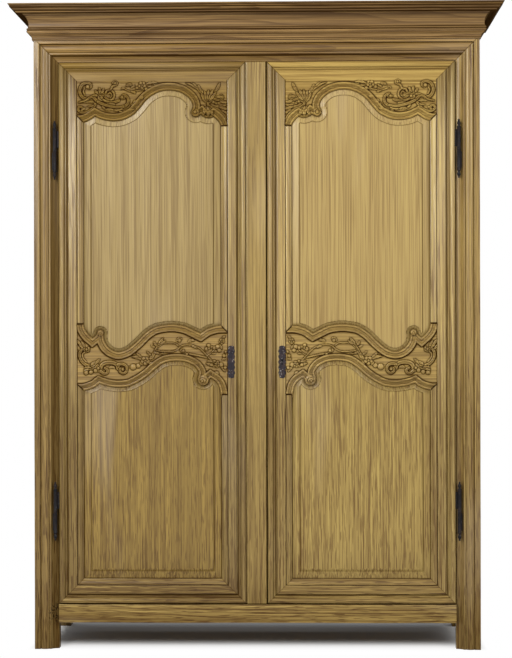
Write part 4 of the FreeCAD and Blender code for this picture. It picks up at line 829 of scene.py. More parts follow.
class Carving:
    """The relief of a rail's ground, cut stroke by stroke, each stroke laid over the ones before."""

    def __init__(self, spots):
        self.spots = spots
        self.rise = np.zeros(len(spots))
        self.dark = np.zeros(len(spots))

    def near(self, route, reach):
        low = route.min(axis=0) - reach
        high = route.max(axis=0) + reach
        return np.flatnonzero(np.all((self.spots > low) & (self.spots < high), axis=1))

    def lay(self, which, share, crown, rim):
        """Sets a rounded shape where its share is under 1, with a fine cut all round it."""
        held = self.rise[which]
        over = np.where(share < 1, np.maximum(held * 0.35, crown), held)
        cut = (share >= 1) & (share < 1 + rim)
        self.rise[which] = np.where(cut, np.minimum(held * 0.4, held) - 0.0009, over)

    def along(self, route, widths):
        """For spots near a route: their distance as a share of its half width, and their place on it."""
        which = self.near(route, widths.max() + 0.003)
        spots = self.spots[which]
        share = np.full(len(which), 9.0)
        place = np.zeros(len(which))
        wide = np.full(len(which), widths.max())
        last = len(route) - 1
        for k in range(last):
            run = route[k + 1] - route[k]
            t = np.clip(((spots - route[k]) @ run) / max(run @ run, 1e-12), 0, 1)
            gap = spots - route[k] - t[:, None] * run
            width = widths[k] + (widths[k + 1] - widths[k]) * t
            this = np.hypot(gap[:, 0], gap[:, 1]) / np.maximum(width, 1e-5)
            nearer = this < share
            share = np.where(nearer, this, share)
            place = np.where(nearer, (k + t) / last, place)
            wide = np.where(nearer, width, wide)
        return which, share, place, wide

    def ribbon(self, pixels, start, end, height):
        route = smooth_line([from_pixel(*p) for p in pixels])
        widths = np.linspace(start, end, len(route)) * pixel
        which, share, place, wide = self.along(route, widths)
        crown = height * 0.001 * np.sqrt(np.clip(1 - share**2, 0, 1))
        self.lay(which, share, crown, 0.0012 / wide)
        # Painted shade: a dark line down the middle of a broad ribbon, for a groove its round crown does not
        # have.
        groove = 0.7 * np.exp(-((share / 0.28) ** 2)) * (wide > 1.05 * pixel)
        self.dark[which] = np.where(share < 1, groove, self.dark[which])

    def leaf(self, pixels, width, height):
        base, bend, tip = (np.array(from_pixel(*p)) for p in pixels)
        t = np.linspace(0, 1, 19)
        route = (np.outer((1 - t) ** 2, base) + np.outer(2 * t * (1 - t), 2 * bend - (base + tip) / 2)
                 + np.outer(t**2, tip))
        lobes = 1 - 0.24 * np.abs(np.sin(t * 3 * math.pi))
        widths = width * pixel * 0.62 * np.maximum(np.sin(math.pi * t**0.8) ** 0.7 * lobes, 0.08)
        which, share, place, wide = self.along(route, widths)
        vein = 0.55 * np.exp(-((share / 0.2) ** 2)) * np.sin(math.pi * np.clip(place * 1.1, 0, 1))
        crown = height * 0.001 * (np.clip(1 - share**2, 0, 1) ** 0.45 * (0.7 + 0.3 * place) - 0.5 * vein)
        self.lay(which, share, crown, 0.0011 / np.maximum(wide, 0.001))
        self.dark[which] = np.where(share < 1, 1.2 * np.maximum(vein, 0), self.dark[which])

    def berry(self, spot, radius, height=None):
        centre = np.array([from_pixel(*spot)])
        reach = radius * pixel
        which = self.near(centre, reach * 1.6)
        share = np.hypot(*(self.spots[which] - centre).T) / reach
        crown = (height or min(0.0042, reach * 0.9)) * np.sqrt(np.clip(1 - share**2, 0, 1))
        self.lay(which, share, crown, 0.0011 / reach)
        self.dark[which] = np.where(share < 1, 0, self.dark[which])

    def flower(self, spot, radius, petals=5):
        for i in range(petals):
            turn = 2 * math.pi * (i + 0.25) / petals
            petal = (spot[0] + 0.58 * radius * math.cos(turn), spot[1] + 0.58 * radius * math.sin(turn))
            self.berry(petal, 0.42 * radius, 0.0034)
        self.berry(spot, 0.26 * radius, 0.0044)

    def strokes(self, design):
        for route, start, end, height in design["ribbons"]:
            self.ribbon(route, start, end, height)
        for route, width, height in design["leaves"]:
            self.leaf(route, width, height)
        for spot, radius in design["berries"]:
            self.berry(spot, radius)
        for spot, radius in design["flowers"]:
            self.flower(spot, radius)


def carved_with(design, sunk_from):
    """The rail's relief after carving: a sunk ground with the design standing on it."""

    def carve(spots, depth):
        work = Carving(spots)
        work.strokes(design)
        sink = ground_sink * np.clip((sunk_from - spots[:, 1]) / 0.004, 0, 1)
        on_ground = depth >= band_depth - 1e-6
        on_ground &= depth < band_depth + 0.0002
        ground = np.where(on_ground, depth + sink, depth)
        cut = np.where(on_ground & (work.rise < 0), ground - work.rise, ground)
        return np.where(work.rise > 0, np.minimum(cut, band_depth + motif_seat - work.rise), cut), work.dark

    return carve


def sheet_of(across, up, keep, front_depth, back_depth, hollow, place):
    """Points, faces and hollows of a closed slab over the kept cells of a grid of spots."""
    rows, columns = across.shape
    kept = keep[:-1, :-1] & keep[1:, :-1] & keep[:-1, 1:] & keep[1:, 1:]
    index = np.arange(rows * columns).reshape(rows, columns)
    quads = np.stack([index[:-1, :-1], index[:-1, 1:], index[1:, 1:], index[1:, :-1]], axis=-1)[kept]
    used = np.unique(quads)
    renumber = np.full(rows * columns, -1)
    renumber[used] = np.arange(len(used))
    quads = renumber[quads]
    flat = np.stack([across.ravel()[used], up.ravel()[used]], axis=1)
    count = len(used)
    points = [place(p, z, d) for (p, z), d in zip(flat, front_depth.ravel()[used])]
    points += [place(p, z, back_depth) for p, z in flat]
    steps = np.concatenate([quads[:, [0, 1]], quads[:, [1, 2]], quads[:, [2, 3]], quads[:, [3, 0]]])
    keys = steps[:, 0] * count + steps[:, 1]
    mirror = steps[:, 1] * count + steps[:, 0]
    rim = steps[~np.isin(keys, mirror)]
    faces = [tuple(q) for q in quads.tolist()]
    faces += [tuple(q + count for q in reversed(quad)) for quad in quads.tolist()]
    faces += [(b, a, a + count, b + count) for a, b in rim.tolist()]
    marks = np.concatenate([hollow.ravel()[used], np.zeros(count)])
    return points, faces, marks


def snapped(across, up, field, step):
    """Grid spots moved on to the line where a field is zero, if they lie within half a step of it."""
    slope_up, slope_across = np.gradient(field, step)
    steep = np.maximum(np.hypot(slope_up, slope_across), 0.3)
    near = np.abs(field) < 0.5 * step
    across = np.where(near, across - field * slope_across / steep**2, across)
    up = np.where(near, up - field * slope_up / steep**2, up)
    return across, up, np.where(near, 0.0, field)


def surroundings(field, size):
    """The mean of a grid's values over a square round each spot."""
    mean = field
    for axis in (0, 1):
        padded = np.concatenate([np.repeat(mean.take([0], axis), size, axis), mean,
                                 np.repeat(mean.take([-1], axis), size, axis)], axis)
        sums = np.cumsum(padded, axis)
        length = mean.shape[axis]
        upper = sums.take(range(2 * size, 2 * size + length), axis)
        lower = sums.take(range(0, length), axis)
        mean = (upper - lower) / (2 * size)
    return mean


def sunk(depth, step, reach=0.007, full=0.0013):
    """How far each spot of a relief lies behind the mean of its surroundings, from -1 (raised, worn and
    painted as a highlight) to 1 (sunk).
    """
    return np.clip((depth - surroundings(depth, max(1, int(reach / step)))) / full, -1, 1)


def on_door(side):
    """The place of a spot on a door, measured from its panel's hinge side, up, and back from the front."""
    return lambda p, z, d: (side * (panel_hinge_side - p), front + d, z)


def facing(faces, side):
    """Faces turned outwards on the door of this side."""
    return faces if side < 0 else [tuple(reversed(face)) for face in faces]


def carved_relief(low, high, inside, cut, carve, side):
    """A rail's carved slab between two levels, inside its serpentine edge and its mitres."""
    columns = np.arange(-rail_reach, panel_width + rail_reach + grid_step / 2, grid_step)
    columns[-1] = panel_width + rail_reach
    levels = np.linspace(low, high, int((high - low) / grid_step) + 1)
    across, up = np.meshgrid(columns, levels)

    def flat(a, z):
        return np.stack([a.ravel(), z.ravel()], axis=1)

    reach = inside(flat(across, up)).reshape(across.shape)
    across, up, reach = snapped(across, up, reach, grid_step)
    spots = flat(across, up)
    depth, vein_wax_and_groove_shade = (part.reshape(across.shape) for part in carve(spots, sticking_depth(reach.ravel())))
    ends = cut(spots).reshape(across.shape)
    keep = (reach > -0.0026) & (ends > -0.4 * grid_step)
    raised = depth < band_depth - 0.0003
    crowd = surroundings(raised.astype(float), int(0.010 / grid_step))
    # Sunk spots take dark wax and painted shade, and raised spots take wear and painted highlights.
    wax_and_painted_light = sunk(depth, grid_step)
    wax_and_painted_light = np.where((reach < moulding_end) & (wax_and_painted_light > 0), 0.2 * wax_and_painted_light, wax_and_painted_light)
    # Painted highlights, with wear, along the crowns of the sticking's bead and lip.
    wax_and_painted_light = np.where(np.abs(reach - bead_line) < 0.0026, -1.0, wax_and_painted_light)
    wax_and_painted_light = np.where(np.abs(reach - lip_line) < 0.0022, -0.8, wax_and_painted_light)
    for quirk, thin in ((lip_quirk, 0.0014), (ground_start, 0.0016)):
        wax_and_painted_light = np.maximum(wax_and_painted_light, 1.9 * np.exp(-(((reach - quirk) / thin) ** 2)) - 0.9)
    # Where strokes crowd, the ground between them darkens with wax and painted shade, and gouge marks vary
    # it.
    gouges = np.sin(across * 900 + 3 * np.sin(up * 610)) * np.sin(up * 870 + 2 * np.sin(across * 530))
    wax_and_painted_light = np.where(raised, np.maximum(wax_and_painted_light, vein_wax_and_groove_shade), np.maximum(wax_and_painted_light, crowd * (0.62 + 0.3 * gouges)))
    to_stile = np.minimum(across + rail_reach, panel_width + rail_reach - across)
    beside_stile = (to_stile < stile_joint) & (up < door_head - sticking_start)
    wax_and_painted_light = np.where((ends < end_joint) | beside_stile, 1.0, wax_and_painted_light)
    points, faces, marks = sheet_of(across, up, keep, depth, door_thick, wax_and_painted_light, on_door(side))
    return points, facing(faces, side), marks


rim_foot = door_head - rim_width
rim_outline = eased(rim_moulding + [(rim_width, door_thick), (0, door_thick)])


def crest_cut(spots):
    """Inside the mitres that end the top rail against the stiles' stickings."""
    past_hinge = spots[:, 1] - crest_end["hinge"] + np.minimum(spots[:, 0], 0)
    past_lock = spots[:, 1] - crest_end["lock"]
    hinge_side = np.where(spots[:, 0] < 0, past_hinge, 1.0)
    lock_side = np.where(spots[:, 0] > panel_width, past_lock, 1.0)
    return np.minimum(hinge_side, lock_side)


def mitre_corner(edge, inward):
    """The corner of the top rail's flat band that meets a stile on a mitre, with dark wax in the joint."""
    line = 0.0016
    spots = [(rim_width, rim_width), (rim_width + line, rim_width), (sticking_start, rim_width),
             (sticking_start, sticking_start - line), (sticking_start, sticking_start)]
    flat = [(edge + inward * across, door_head - down) for across, down in spots]
    points = [(x, front + depth, z) for depth in (band_depth, door_thick) for x, z in flat]
    faces = [(0, 1, 3, 4), (1, 2, 3), (9, 8, 7, 6, 5)]
    faces += [(i, i + 5, (i + 1) % 5 + 5, (i + 1) % 5) for i in range(5)]
    if inward > 0:
        faces = [tuple(reversed(face)) for face in faces]
    return points, faces, [0.9, 0, 0, 0, 0.9] * 2


crest_carving = {
    "ribbons": (
        (((426.8, 85.6), (425.0, 86.3), (423.1, 84.2), (424.5, 81.7), (428.6, 81.1), (432.3, 83.2),
          (434.3, 87.8), (433.6, 92.7), (430.5, 96.2), (426.4, 97.3)), 1.2, 1.7, 4.6),
        (((429.3, 86.1), (430.7, 89.7), (429.1, 93.5)), 0.7, 0.9, 3.2),
        (((417.6, 98.7), (421.3, 95.3), (424.7, 95.9), (429.1, 98.9), (435.3, 100.5)), 1.5, 0.7, 4.2),
        (((418.8, 102.4), (421.8, 107.0), (427.0, 110.4), (432.4, 110.6), (436.0, 108.1),
          (434.8, 105.1), (431.9, 105.8), (432.1, 108.1)), 1.5, 1.0, 4.2),
        (((408.4, 91.1), (406.8, 88.8), (403.2, 88.4), (400.3, 90.7), (399.7, 94.7), (402.0, 97.9),
          (406.1, 97.9), (408.9, 95.5)), 0.9, 1.1, 3.8),
        (((406.1, 92.5), (403.9, 91.1), (402.0, 93.9), (403.9, 96.2)), 0.7, 0.6, 3.0),
        (((403.2, 88.1), (401.6, 84.9), (399.7, 83.8), (397.2, 82.9), (397.0, 80.6), (399.5, 79.6),
          (401.2, 81.1), (400.0, 82.4)), 1.0, 0.7, 3.6),
        (((393.5, 95.5), (391.5, 96.9), (389.4, 95.5), (390.5, 93.4), (387.3, 94.6), (385.6, 98.1),
          (386.4, 102.4), (390.1, 105.1), (395.1, 105.8)), 1.1, 1.5, 4.6),
        (((395.1, 98.9), (399.7, 100.4), (405.7, 100.1), (411.0, 98.0)), 1.3, 1.0, 3.8),
        (((390.5, 104.9), (396.3, 105.8), (403.2, 104.7), (410.3, 102.8), (416.0, 100.1)), 1.3, 1.5, 4.2),
        (((379.3, 107.7), (383.9, 108.3), (388.5, 110.2), (394.2, 109.8)), 0.8, 0.9, 2.6),
        (((391.9, 107.4), (396.7, 108.6), (402.2, 108.1), (407.8, 107.9), (411.4, 105.1)), 0.9, 1.0, 2.8),
        (((355.2, 82.2), (361.8, 84.0), (367.8, 87.2), (375.6, 88.9), (383.1, 89.7),
          (389.4, 87.4)), 0.5, 0.7, 2.2),
        (((286.9, 121.5), (289.6, 114.4), (295.6, 108.6), (302.0, 106.2), (305.6, 103.2), (303.8, 100.4),
          (299.6, 100.2), (297.2, 102.6)), 1.3, 1.1, 4.8),
        (((300.1, 97.6), (295.5, 98.9), (291.8, 97.8), (290.2, 95.7), (292.3, 93.9)), 1.3, 0.9, 3.8),
    ),
    "leaves": (
        (((413.5, 91.8), (411.0, 88.9), (410.3, 86.1)), 2.4, 3.8),
        (((414.9, 91.2), (414.2, 88.1), (415.6, 85.8)), 2.4, 4.2),
        (((416.4, 92.4), (417.9, 89.7), (419.2, 88.4)), 2.2, 3.8),
        (((414.9, 93.5), (412.3, 94.3), (409.6, 93.6)), 2.2, 3.6),
        (((415.6, 94.3), (414.4, 97.3), (411.4, 98.9)), 2.4, 3.8),
        (((417.2, 94.3), (418.8, 93.6), (422.7, 93.9)), 2.2, 3.8),
        (((419.2, 100.8), (424.4, 100.1), (430.7, 101.2)), 1.8, 3.2),
        (((428.4, 105.8), (430.9, 107.4), (433.7, 109.7)), 2.0, 3.2),
        (((420.4, 103.3), (422.7, 104.4), (427.5, 104.7)), 1.8, 3.0),
        (((367.6, 82.9), (361.8, 81.0), (355.2, 81.9)), 2.4, 3.4),
        (((366.2, 84.7), (361.8, 84.9), (357.2, 84.0)), 2.0, 3.0),
        (((381.9, 84.0), (384.8, 82.9), (388.2, 84.7)), 2.6, 3.8),
        (((383.6, 86.1), (380.8, 85.2), (378.5, 82.9)), 1.8, 3.2),
        (((388.9, 87.2), (390.8, 86.3), (393.1, 88.4)), 1.8, 3.0),
        (((377.9, 92.0), (380.4, 90.4), (383.6, 90.7)), 2.0, 3.2),
        (((391.7, 110.4), (388.2, 109.0), (384.8, 107.0)), 1.8, 2.8),
        (((399.7, 109.0), (404.3, 107.4), (409.6, 108.3)), 1.8, 2.8),
        (((398.6, 103.3), (402.0, 102.1), (407.3, 101.7)), 2.2, 3.2),
        (((310.4, 95.5), (315.3, 87.2), (328.1, 81.6)), 3.6, 3.8),
        (((312.7, 90.7), (314.1, 86.1), (315.9, 83.3)), 2.0, 2.8),
        (((317.1, 86.1), (319.4, 82.9), (323.0, 81.3)), 1.8, 2.6),
        (((307.0, 101.6), (310.4, 95.9), (312.7, 91.6)), 3.2, 4.0),
        (((306.5, 101.0), (307.9, 94.1), (309.3, 89.7)), 3.0, 4.0),
        (((305.8, 100.8), (305.4, 93.5), (304.7, 88.4)), 3.0, 4.2),
        (((305.1, 100.5), (302.6, 93.5), (300.8, 88.6)), 3.0, 4.0),
        (((304.4, 100.1), (300.1, 94.7), (297.3, 90.7)), 2.8, 3.8),
        (((298.2, 90.4), (295.5, 86.1), (293.4, 81.3)), 2.8, 3.8),
        (((297.1, 96.4), (293.0, 95.5), (289.3, 97.1)), 2.4, 3.4),
        (((294.1, 99.6), (289.5, 101.0), (285.2, 101.5)), 2.6, 3.4),
        (((294.7, 103.3), (290.7, 104.4), (285.2, 103.1)), 2.4, 3.2),
        (((294.7, 105.8), (289.5, 107.0), (285.4, 109.3)), 2.6, 3.2),
        (((292.5, 109.0), (289.3, 110.4), (285.6, 112.7)), 2.2, 3.0),
        (((307.0, 105.5), (309.3, 110.0), (310.0, 114.8)), 3.4, 4.0),
        (((304.4, 105.8), (302.2, 110.5), (301.0, 114.8)), 3.2, 4.0),
        (((305.6, 105.5), (305.5, 111.0), (305.3, 116.0)), 3.6, 4.6),
    ),
    "berries": (
        ((426.4, 84.9), 2.0),
        ((372.5, 95.5), 2.3),
        ((378.5, 100.8), 2.5),
        ((367.6, 87.4), 1.7),
        ((376.8, 86.3), 1.5),
        ((391.7, 95.5), 1.6),
        ((398.8, 81.5), 1.4),
        ((375.0, 97.6), 1.3),
        ((381.4, 103.3), 1.4),
        ((412.3, 95.9), 1.6),
        ((318.3, 111.3), 3.9),
        ((318.8, 111.0), 2.1),
        ((300.1, 100.8), 1.4),
    ),
    "flowers": (
        ((371.6, 83.5), 4.1),
    ),
}

# The left door's carved top rail is painted darker than the right's: a painted fall of light across the
# front, brighter on the right.
crest_pale_shaded_left = {-1: tone(130, 103, 46), 1: tone(174, 146, 80)}
crest_deep_shaded_left = {-1: tone(114, 89, 41), 1: tone(144, 117, 60)}
for side, (hand, body) in door_slots.items():
    crest_oak = waxed_oak(f"crest_oak_{hand}", "X", crest_pale_shaded_left[side], crest_deep_shaded_left[side], 31 + side, rings=0.2,
                          dashes=0.35, polish=0.36, gloss=0.12)
    rim_run = run_of(
        rim_outline, (side * hinge_edge, front, door_head), (0, 0, -1), (0, 1, 0), (-side, 0, 0),
        door_width, foot=lambda u: u, head=lambda u: -u,
    )
    crest_slab = carved_relief(door_head - 1.05 * crest_depth, rim_foot, over_crest, crest_cut,
                               carved_with(crest_carving, rim_foot - flat_band), side)
    crest_mesh = joined(rim_run, crest_slab, mitre_corner(side * hinge_edge, -side),
                        mitre_corner(side * lock_edge, side))
    as_piece(f"{hand}_carved_top_rail", crest_mesh, crest_oak, body, "oak_frame", f"{hand}_top_rail")


# The carved mid rails: one oak rail to each door at the lock's height, with serpentine edges above and
# below. Both stickings end in volutes, and a branch with flowers and berries is carved between them.
mid_level = 1.000
mid_height = 0.232
sunk_all_over = 9.0
# The left door's mid rail is painted darker than the right's: a painted fall of light across the front,
# brighter on the right.
mid_pale_shaded_left = {-1: tone(154, 125, 64), 1: tone(162, 134, 72)}
mid_deep_shaded_left = {-1: tone(122, 96, 46), 1: tone(130, 105, 52)}


def mid_spot(across, up):
    """A spot on a door from shares of the panel's width and of the mid rail's height above its middle."""
    return across * panel_width, mid_level + up * mid_height


head_edge = np.vstack([
    [mid_spot(0, 1.0)],
    smooth_line([mid_spot(*p) for p in (
        (0, 0.497), (0.010, 0.408), (0.036, 0.331), (0.066, 0.276))])[:-1],
    smooth_line([mid_spot(*p) for p in ((0.066, 0.276), (0.085, 0.308), (0.096, 0.34))])[:-1],
    round_between(mid_spot(0.098, 0.35), mid_spot(0.124, 0.406), mid_spot(0.147, 0.335)),
    smooth_line([mid_spot(*p) for p in (
        (0.146, 0.298), (0.152, 0.234), (0.175, 0.155), (0.21, 0.099), (0.258, 0.073), (0.317, 0.112),
        (0.382, 0.217), (0.448, 0.35), (0.513, 0.436), (0.578, 0.469), (0.652, 0.478), (0.733, 0.452),
        (0.799, 0.393), (0.848, 0.343))])[:-1],
    smooth_line([mid_spot(*p) for p in ((0.848, 0.343), (0.897, 0.411), (0.962, 0.452), (1, 0.459))]),
    [mid_spot(1.12, 0.459)],
])
foot_edge = np.vstack([
    [mid_spot(-0.12, -0.500)],
    smooth_line([mid_spot(*p) for p in (
        (0, -0.500), (0.041, -0.478), (0.086, -0.440), (0.116, -0.392))])[:-1],
    smooth_line([mid_spot(*p) for p in (
        (0.116, -0.392), (0.15, -0.418), (0.20, -0.440), (0.262, -0.450), (0.333, -0.432), (0.399, -0.370),
        (0.464, -0.281), (0.529, -0.164), (0.587, -0.088), (0.652, -0.063), (0.733, -0.072),
        (0.799, -0.13), (0.832, -0.21), (0.836, -0.25))])[:-1],
    round_between(mid_spot(0.834, -0.272), mid_spot(0.832, -0.384), mid_spot(0.910, -0.335)),
    smooth_line([mid_spot(*p) for p in (
        (0.922, -0.314), (0.956, -0.364), (0.980, -0.437), (0.994, -0.564))]),
    [mid_spot(1, -1.0)],
])


def under_head(spots):
    """How far inside the mid rail's wood each spot lies, below its upper serpentine edge."""
    return -off_line(head_edge, spots)


def over_foot(spots):
    """How far inside the mid rail's wood each spot lies, above its lower serpentine edge."""
    return off_line(foot_edge, spots)


mid_carving = {
    "ribbons": (
        (((426.1, 347.0), (426.1, 349.7), (429.5, 350.4), (430.2, 347.9), (433.0, 348.8),
          (435.0, 352.5), (434.6, 356.8), (432.3, 361.2), (427.9, 364.6), (422.6, 366.0),
          (417.3, 365.1)), 1.0, 1.8, 4.6),
        (((430.0, 351.3), (432.3, 353.6), (431.6, 357.6), (428.6, 361.2)), 0.7, 0.9, 3.0),
        (((414.6, 370.2), (413.4, 365.3), (410.5, 362.6), (405.9, 361.7), (400.8, 362.3),
          (397.4, 364.6), (396.5, 367.9)), 2.0, 1.8, 4.6),
        (((409.8, 367.4), (407.0, 369.7), (408.2, 372.6), (411.6, 372.6), (413.9, 370.2)), 1.2, 1.5, 4.2),
        (((396.9, 364.0), (392.3, 363.3), (388.2, 365.6), (388.0, 370.2), (390.9, 372.7),
          (394.4, 371.1), (394.6, 368.1), (391.9, 367.6)), 1.5, 1.0, 4.6),
        (((333.0, 345.6), (337.0, 349.0), (342.7, 351.1), (349.6, 351.0), (357.9, 349.6),
          (355.8, 346.2), (351.0, 343.1), (345.0, 342.1), (339.3, 342.7), (335.8, 345.1)), 0.65, 0.65, 2.6),
        (((357.9, 349.6), (359.7, 351.6), (356.3, 353.5), (351.2, 352.7)), 0.7, 0.6, 2.6),
        (((299.7, 362.6), (305.4, 357.1), (310.0, 351.9), (315.2, 347.3), (320.9, 345.0),
          (326.7, 344.2), (331.3, 344.8), (333.0, 345.6)), 0.7, 0.6, 2.8),
        (((307.7, 357.1), (314.0, 355.5), (320.9, 354.0), (326.7, 353.0), (331.8, 351.6),
          (333.8, 349.7), (331.9, 348.3)), 0.8, 0.9, 3.0),
        (((289.7, 337.3), (293.4, 343.3), (298.0, 347.9), (303.7, 353.0), (307.7, 355.5)), 0.6, 0.6, 2.6),
        (((288.8, 370.8), (294.5, 365.8), (299.7, 362.6)), 0.6, 0.6, 2.6),
        (((417.1, 364.6), (419.9, 367.4), (425.4, 368.3), (430.0, 369.7)), 1.2, 1.0, 3.6),
        (((366.8, 359.4), (362.2, 354.8), (359.4, 349.6), (355.4, 343.3), (351.2, 338.2)), 0.8, 0.6, 3.0),
        (((378.3, 365.3), (374.4, 364.0), (370.3, 362.3)), 0.7, 0.7, 2.8),
    ),
    "leaves": (
        (((431.8, 347.9), (434.8, 343.3), (438.5, 338.0)), 2.8, 3.8),
        (((430.2, 346.5), (431.8, 343.1), (433.9, 340.1)), 2.4, 3.4),
        (((434.8, 349.0), (437.1, 346.3), (438.9, 343.1)), 2.2, 3.2),
        (((424.2, 364.9), (421.0, 362.3), (417.3, 361.2)), 2.6, 3.8),
        (((419.9, 364.0), (416.9, 360.5), (414.5, 358.2)), 2.4, 3.4),
        (((423.1, 367.4), (427.7, 366.5), (430.7, 368.1)), 2.2, 3.4),
        (((405.9, 367.4), (402.4, 366.3), (399.4, 368.3)), 2.4, 3.0),
        (((370.3, 359.4), (376.0, 356.8), (383.4, 356.1)), 3.2, 3.8),
        (((372.6, 357.3), (376.0, 354.1), (379.0, 352.7)), 2.0, 3.0),
        (((364.8, 358.7), (361.3, 354.8), (359.7, 349.7)), 3.4, 3.8),
        (((362.7, 354.8), (365.7, 352.7), (367.8, 350.4)), 2.0, 3.0),
        (((360.4, 352.7), (357.2, 352.2), (354.7, 354.1)), 2.0, 3.0),
        (((355.8, 344.4), (353.3, 340.8), (350.8, 336.9)), 3.0, 3.6),
        (((357.2, 345.1), (359.5, 342.8), (360.0, 340.1)), 2.2, 3.2),
        (((354.4, 343.3), (351.2, 342.1), (348.5, 339.2)), 2.2, 3.2),
        (((359.0, 346.7), (361.8, 345.8), (363.4, 344.0)), 1.8, 2.8),
        (((337.7, 340.3), (334.7, 338.2), (331.9, 338.9)), 2.8, 3.6),
        (((326.2, 341.2), (322.8, 339.6), (319.1, 340.3)), 2.6, 3.4),
        (((322.3, 345.6), (320.0, 345.8), (317.2, 348.1)), 2.4, 3.2),
        (((333.3, 348.3), (332.4, 350.2), (329.9, 352.0)), 2.4, 3.2),
        (((325.5, 352.0), (327.2, 353.6), (329.0, 354.1)), 2.2, 3.0),
        (((299.3, 366.5), (303.7, 364.0), (308.5, 363.0)), 2.8, 3.4),
        (((301.6, 361.9), (304.4, 360.5), (307.4, 360.7)), 2.0, 3.0),
        (((288.8, 371.5), (290.6, 368.5), (293.8, 366.5)), 2.6, 3.4),
        (((295.7, 371.3), (299.1, 372.0), (302.3, 373.8)), 2.8, 3.6),
        (((296.8, 344.4), (293.4, 346.3), (291.8, 349.3)), 2.4, 3.4),
        (((300.5, 347.9), (303.0, 346.3), (306.0, 347.0)), 2.4, 3.2),
        (((291.1, 338.7), (290.2, 336.4), (288.3, 335.5)), 2.2, 3.2),
        (((292.0, 359.4), (289.9, 358.2), (287.9, 359.1)), 2.0, 3.0),
        (((298.0, 352.5), (300.3, 353.2), (303.0, 352.7)), 1.6, 2.6),
    ),
    "berries": (
        ((428.1, 348.8), 1.4),
        ((428.6, 372.2), 2.1),
        ((423.8, 371.5), 2.0),
        ((419.2, 369.9), 2.0),
        ((416.4, 367.6), 1.6),
        ((391.9, 368.8), 1.6),
        ((381.3, 366.3), 3.1),
        ((376.0, 365.1), 2.3),
        ((363.4, 363.0), 2.1),
        ((372.8, 362.6), 2.1),
        ((334.7, 339.8), 1.7),
        ((327.3, 353.6), 1.5),
        ((330.8, 350.4), 1.6),
        ((292.2, 339.6), 2.1),
        ((296.4, 346.5), 2.3),
        ((294.7, 349.7), 2.0),
        ((299.8, 347.4), 1.7),
        ((305.5, 344.7), 1.8),
        ((307.4, 348.3), 2.0),
        ((305.1, 347.9), 1.3),
        ((292.9, 364.2), 2.3),
        ((288.8, 367.4), 1.6),
        ((296.4, 361.9), 1.7),
        ((302.6, 364.4), 1.7),
        ((297.5, 373.1), 2.5),
        ((299.6, 360.5), 1.4),
        ((289.9, 355.2), 1.6),
        ((288.3, 351.3), 1.4),
        ((414.3, 332.2), 3.0),
        ((310.8, 379.8), 5.2),
        ((311.4, 380.4), 3.2),
        ((312.0, 380.8), 1.4),
    ),
    "flowers": (
        ((369.1, 360.1), 4.6),
        ((297.0, 364.6), 2.8),
        ((292.2, 340.8), 3.0),
    ),
}


def within_mid(spots):
    """How far inside the mid rail's wood, from the nearer of its two serpentine edges."""
    return np.minimum(under_head(spots), over_foot(spots))


def mid_cut(spots):
    """Inside the mid rail's ends: a mitre or a straight joint against each stile's sticking."""
    past_hinge = np.maximum(-spots[:, 0], 0)
    past_lock = np.maximum(spots[:, 0] - panel_width, 0)
    hinge_side = np.minimum(head_end["hinge"] - spots[:, 1], spots[:, 1] - foot_end["hinge"] - past_hinge)
    lock_side = np.minimum(head_end["lock"] - past_lock - spots[:, 1], spots[:, 1] - foot_end["lock"])
    return np.where(past_hinge > 0, hinge_side, np.where(past_lock > 0, lock_side, 1.0))


for side, (hand, body) in door_slots.items():
    mid_oak = waxed_oak(f"mid_rail_oak_{hand}", "X", mid_pale_shaded_left[side], mid_deep_shaded_left[side], 37 + side, rings=0.15,
                        dashes=0.25)
    mid_slab = carved_relief(mid_level - 0.60 * mid_height, mid_level + 0.53 * mid_height, within_mid,
                             mid_cut, carved_with(mid_carving, sunk_all_over), side)
    as_piece(f"{hand}_carved_mid_rail", mid_slab, mid_oak, body, "oak_frame", f"{hand}_mid_rail")


# The door panels: thin oak boards, feathered at the edges into the grooves of the frame. A bevel follows the
# serpentine rails round each panel and ends in a small step up to the flat field.
tongue = 0.008
bevel_width = 0.021
side_share = 0.75
head_share = 1.9
foot_share = 1.35
field_depth = 0.008
panel_back = 0.0237
panel_fine = 0.0017
panel_coarse = 0.012
panel_even = 0.0034
side_zone = 0.045
head_zone = 0.15


def panel_depth(reach):
    """Depth of a panel's face behind the door's front, by distance in from the opening's edge."""
    stretch = np.array([-0.02, 0.0, bevel_width - 0.0012, bevel_width - 0.0004, bevel_width, 1.0])
    depth = np.array([panel_seat, panel_seat, 0.0112, 0.0114, field_depth + 0.0004, field_depth])
    return np.interp(reach, stretch, depth)


def fine_at_ends(low, high, low_zone, high_zone):
    """Grid levels that are close together near both ends and wide apart between."""
    first = np.arange(low, low + low_zone, panel_fine)
    last = np.arange(high, high - high_zone, -panel_fine)[::-1]
    between = np.linspace(first[-1], last[0], max(2, int((last[0] - first[-1]) / panel_coarse)))[1:-1]
    return np.concatenate([first, between, last])


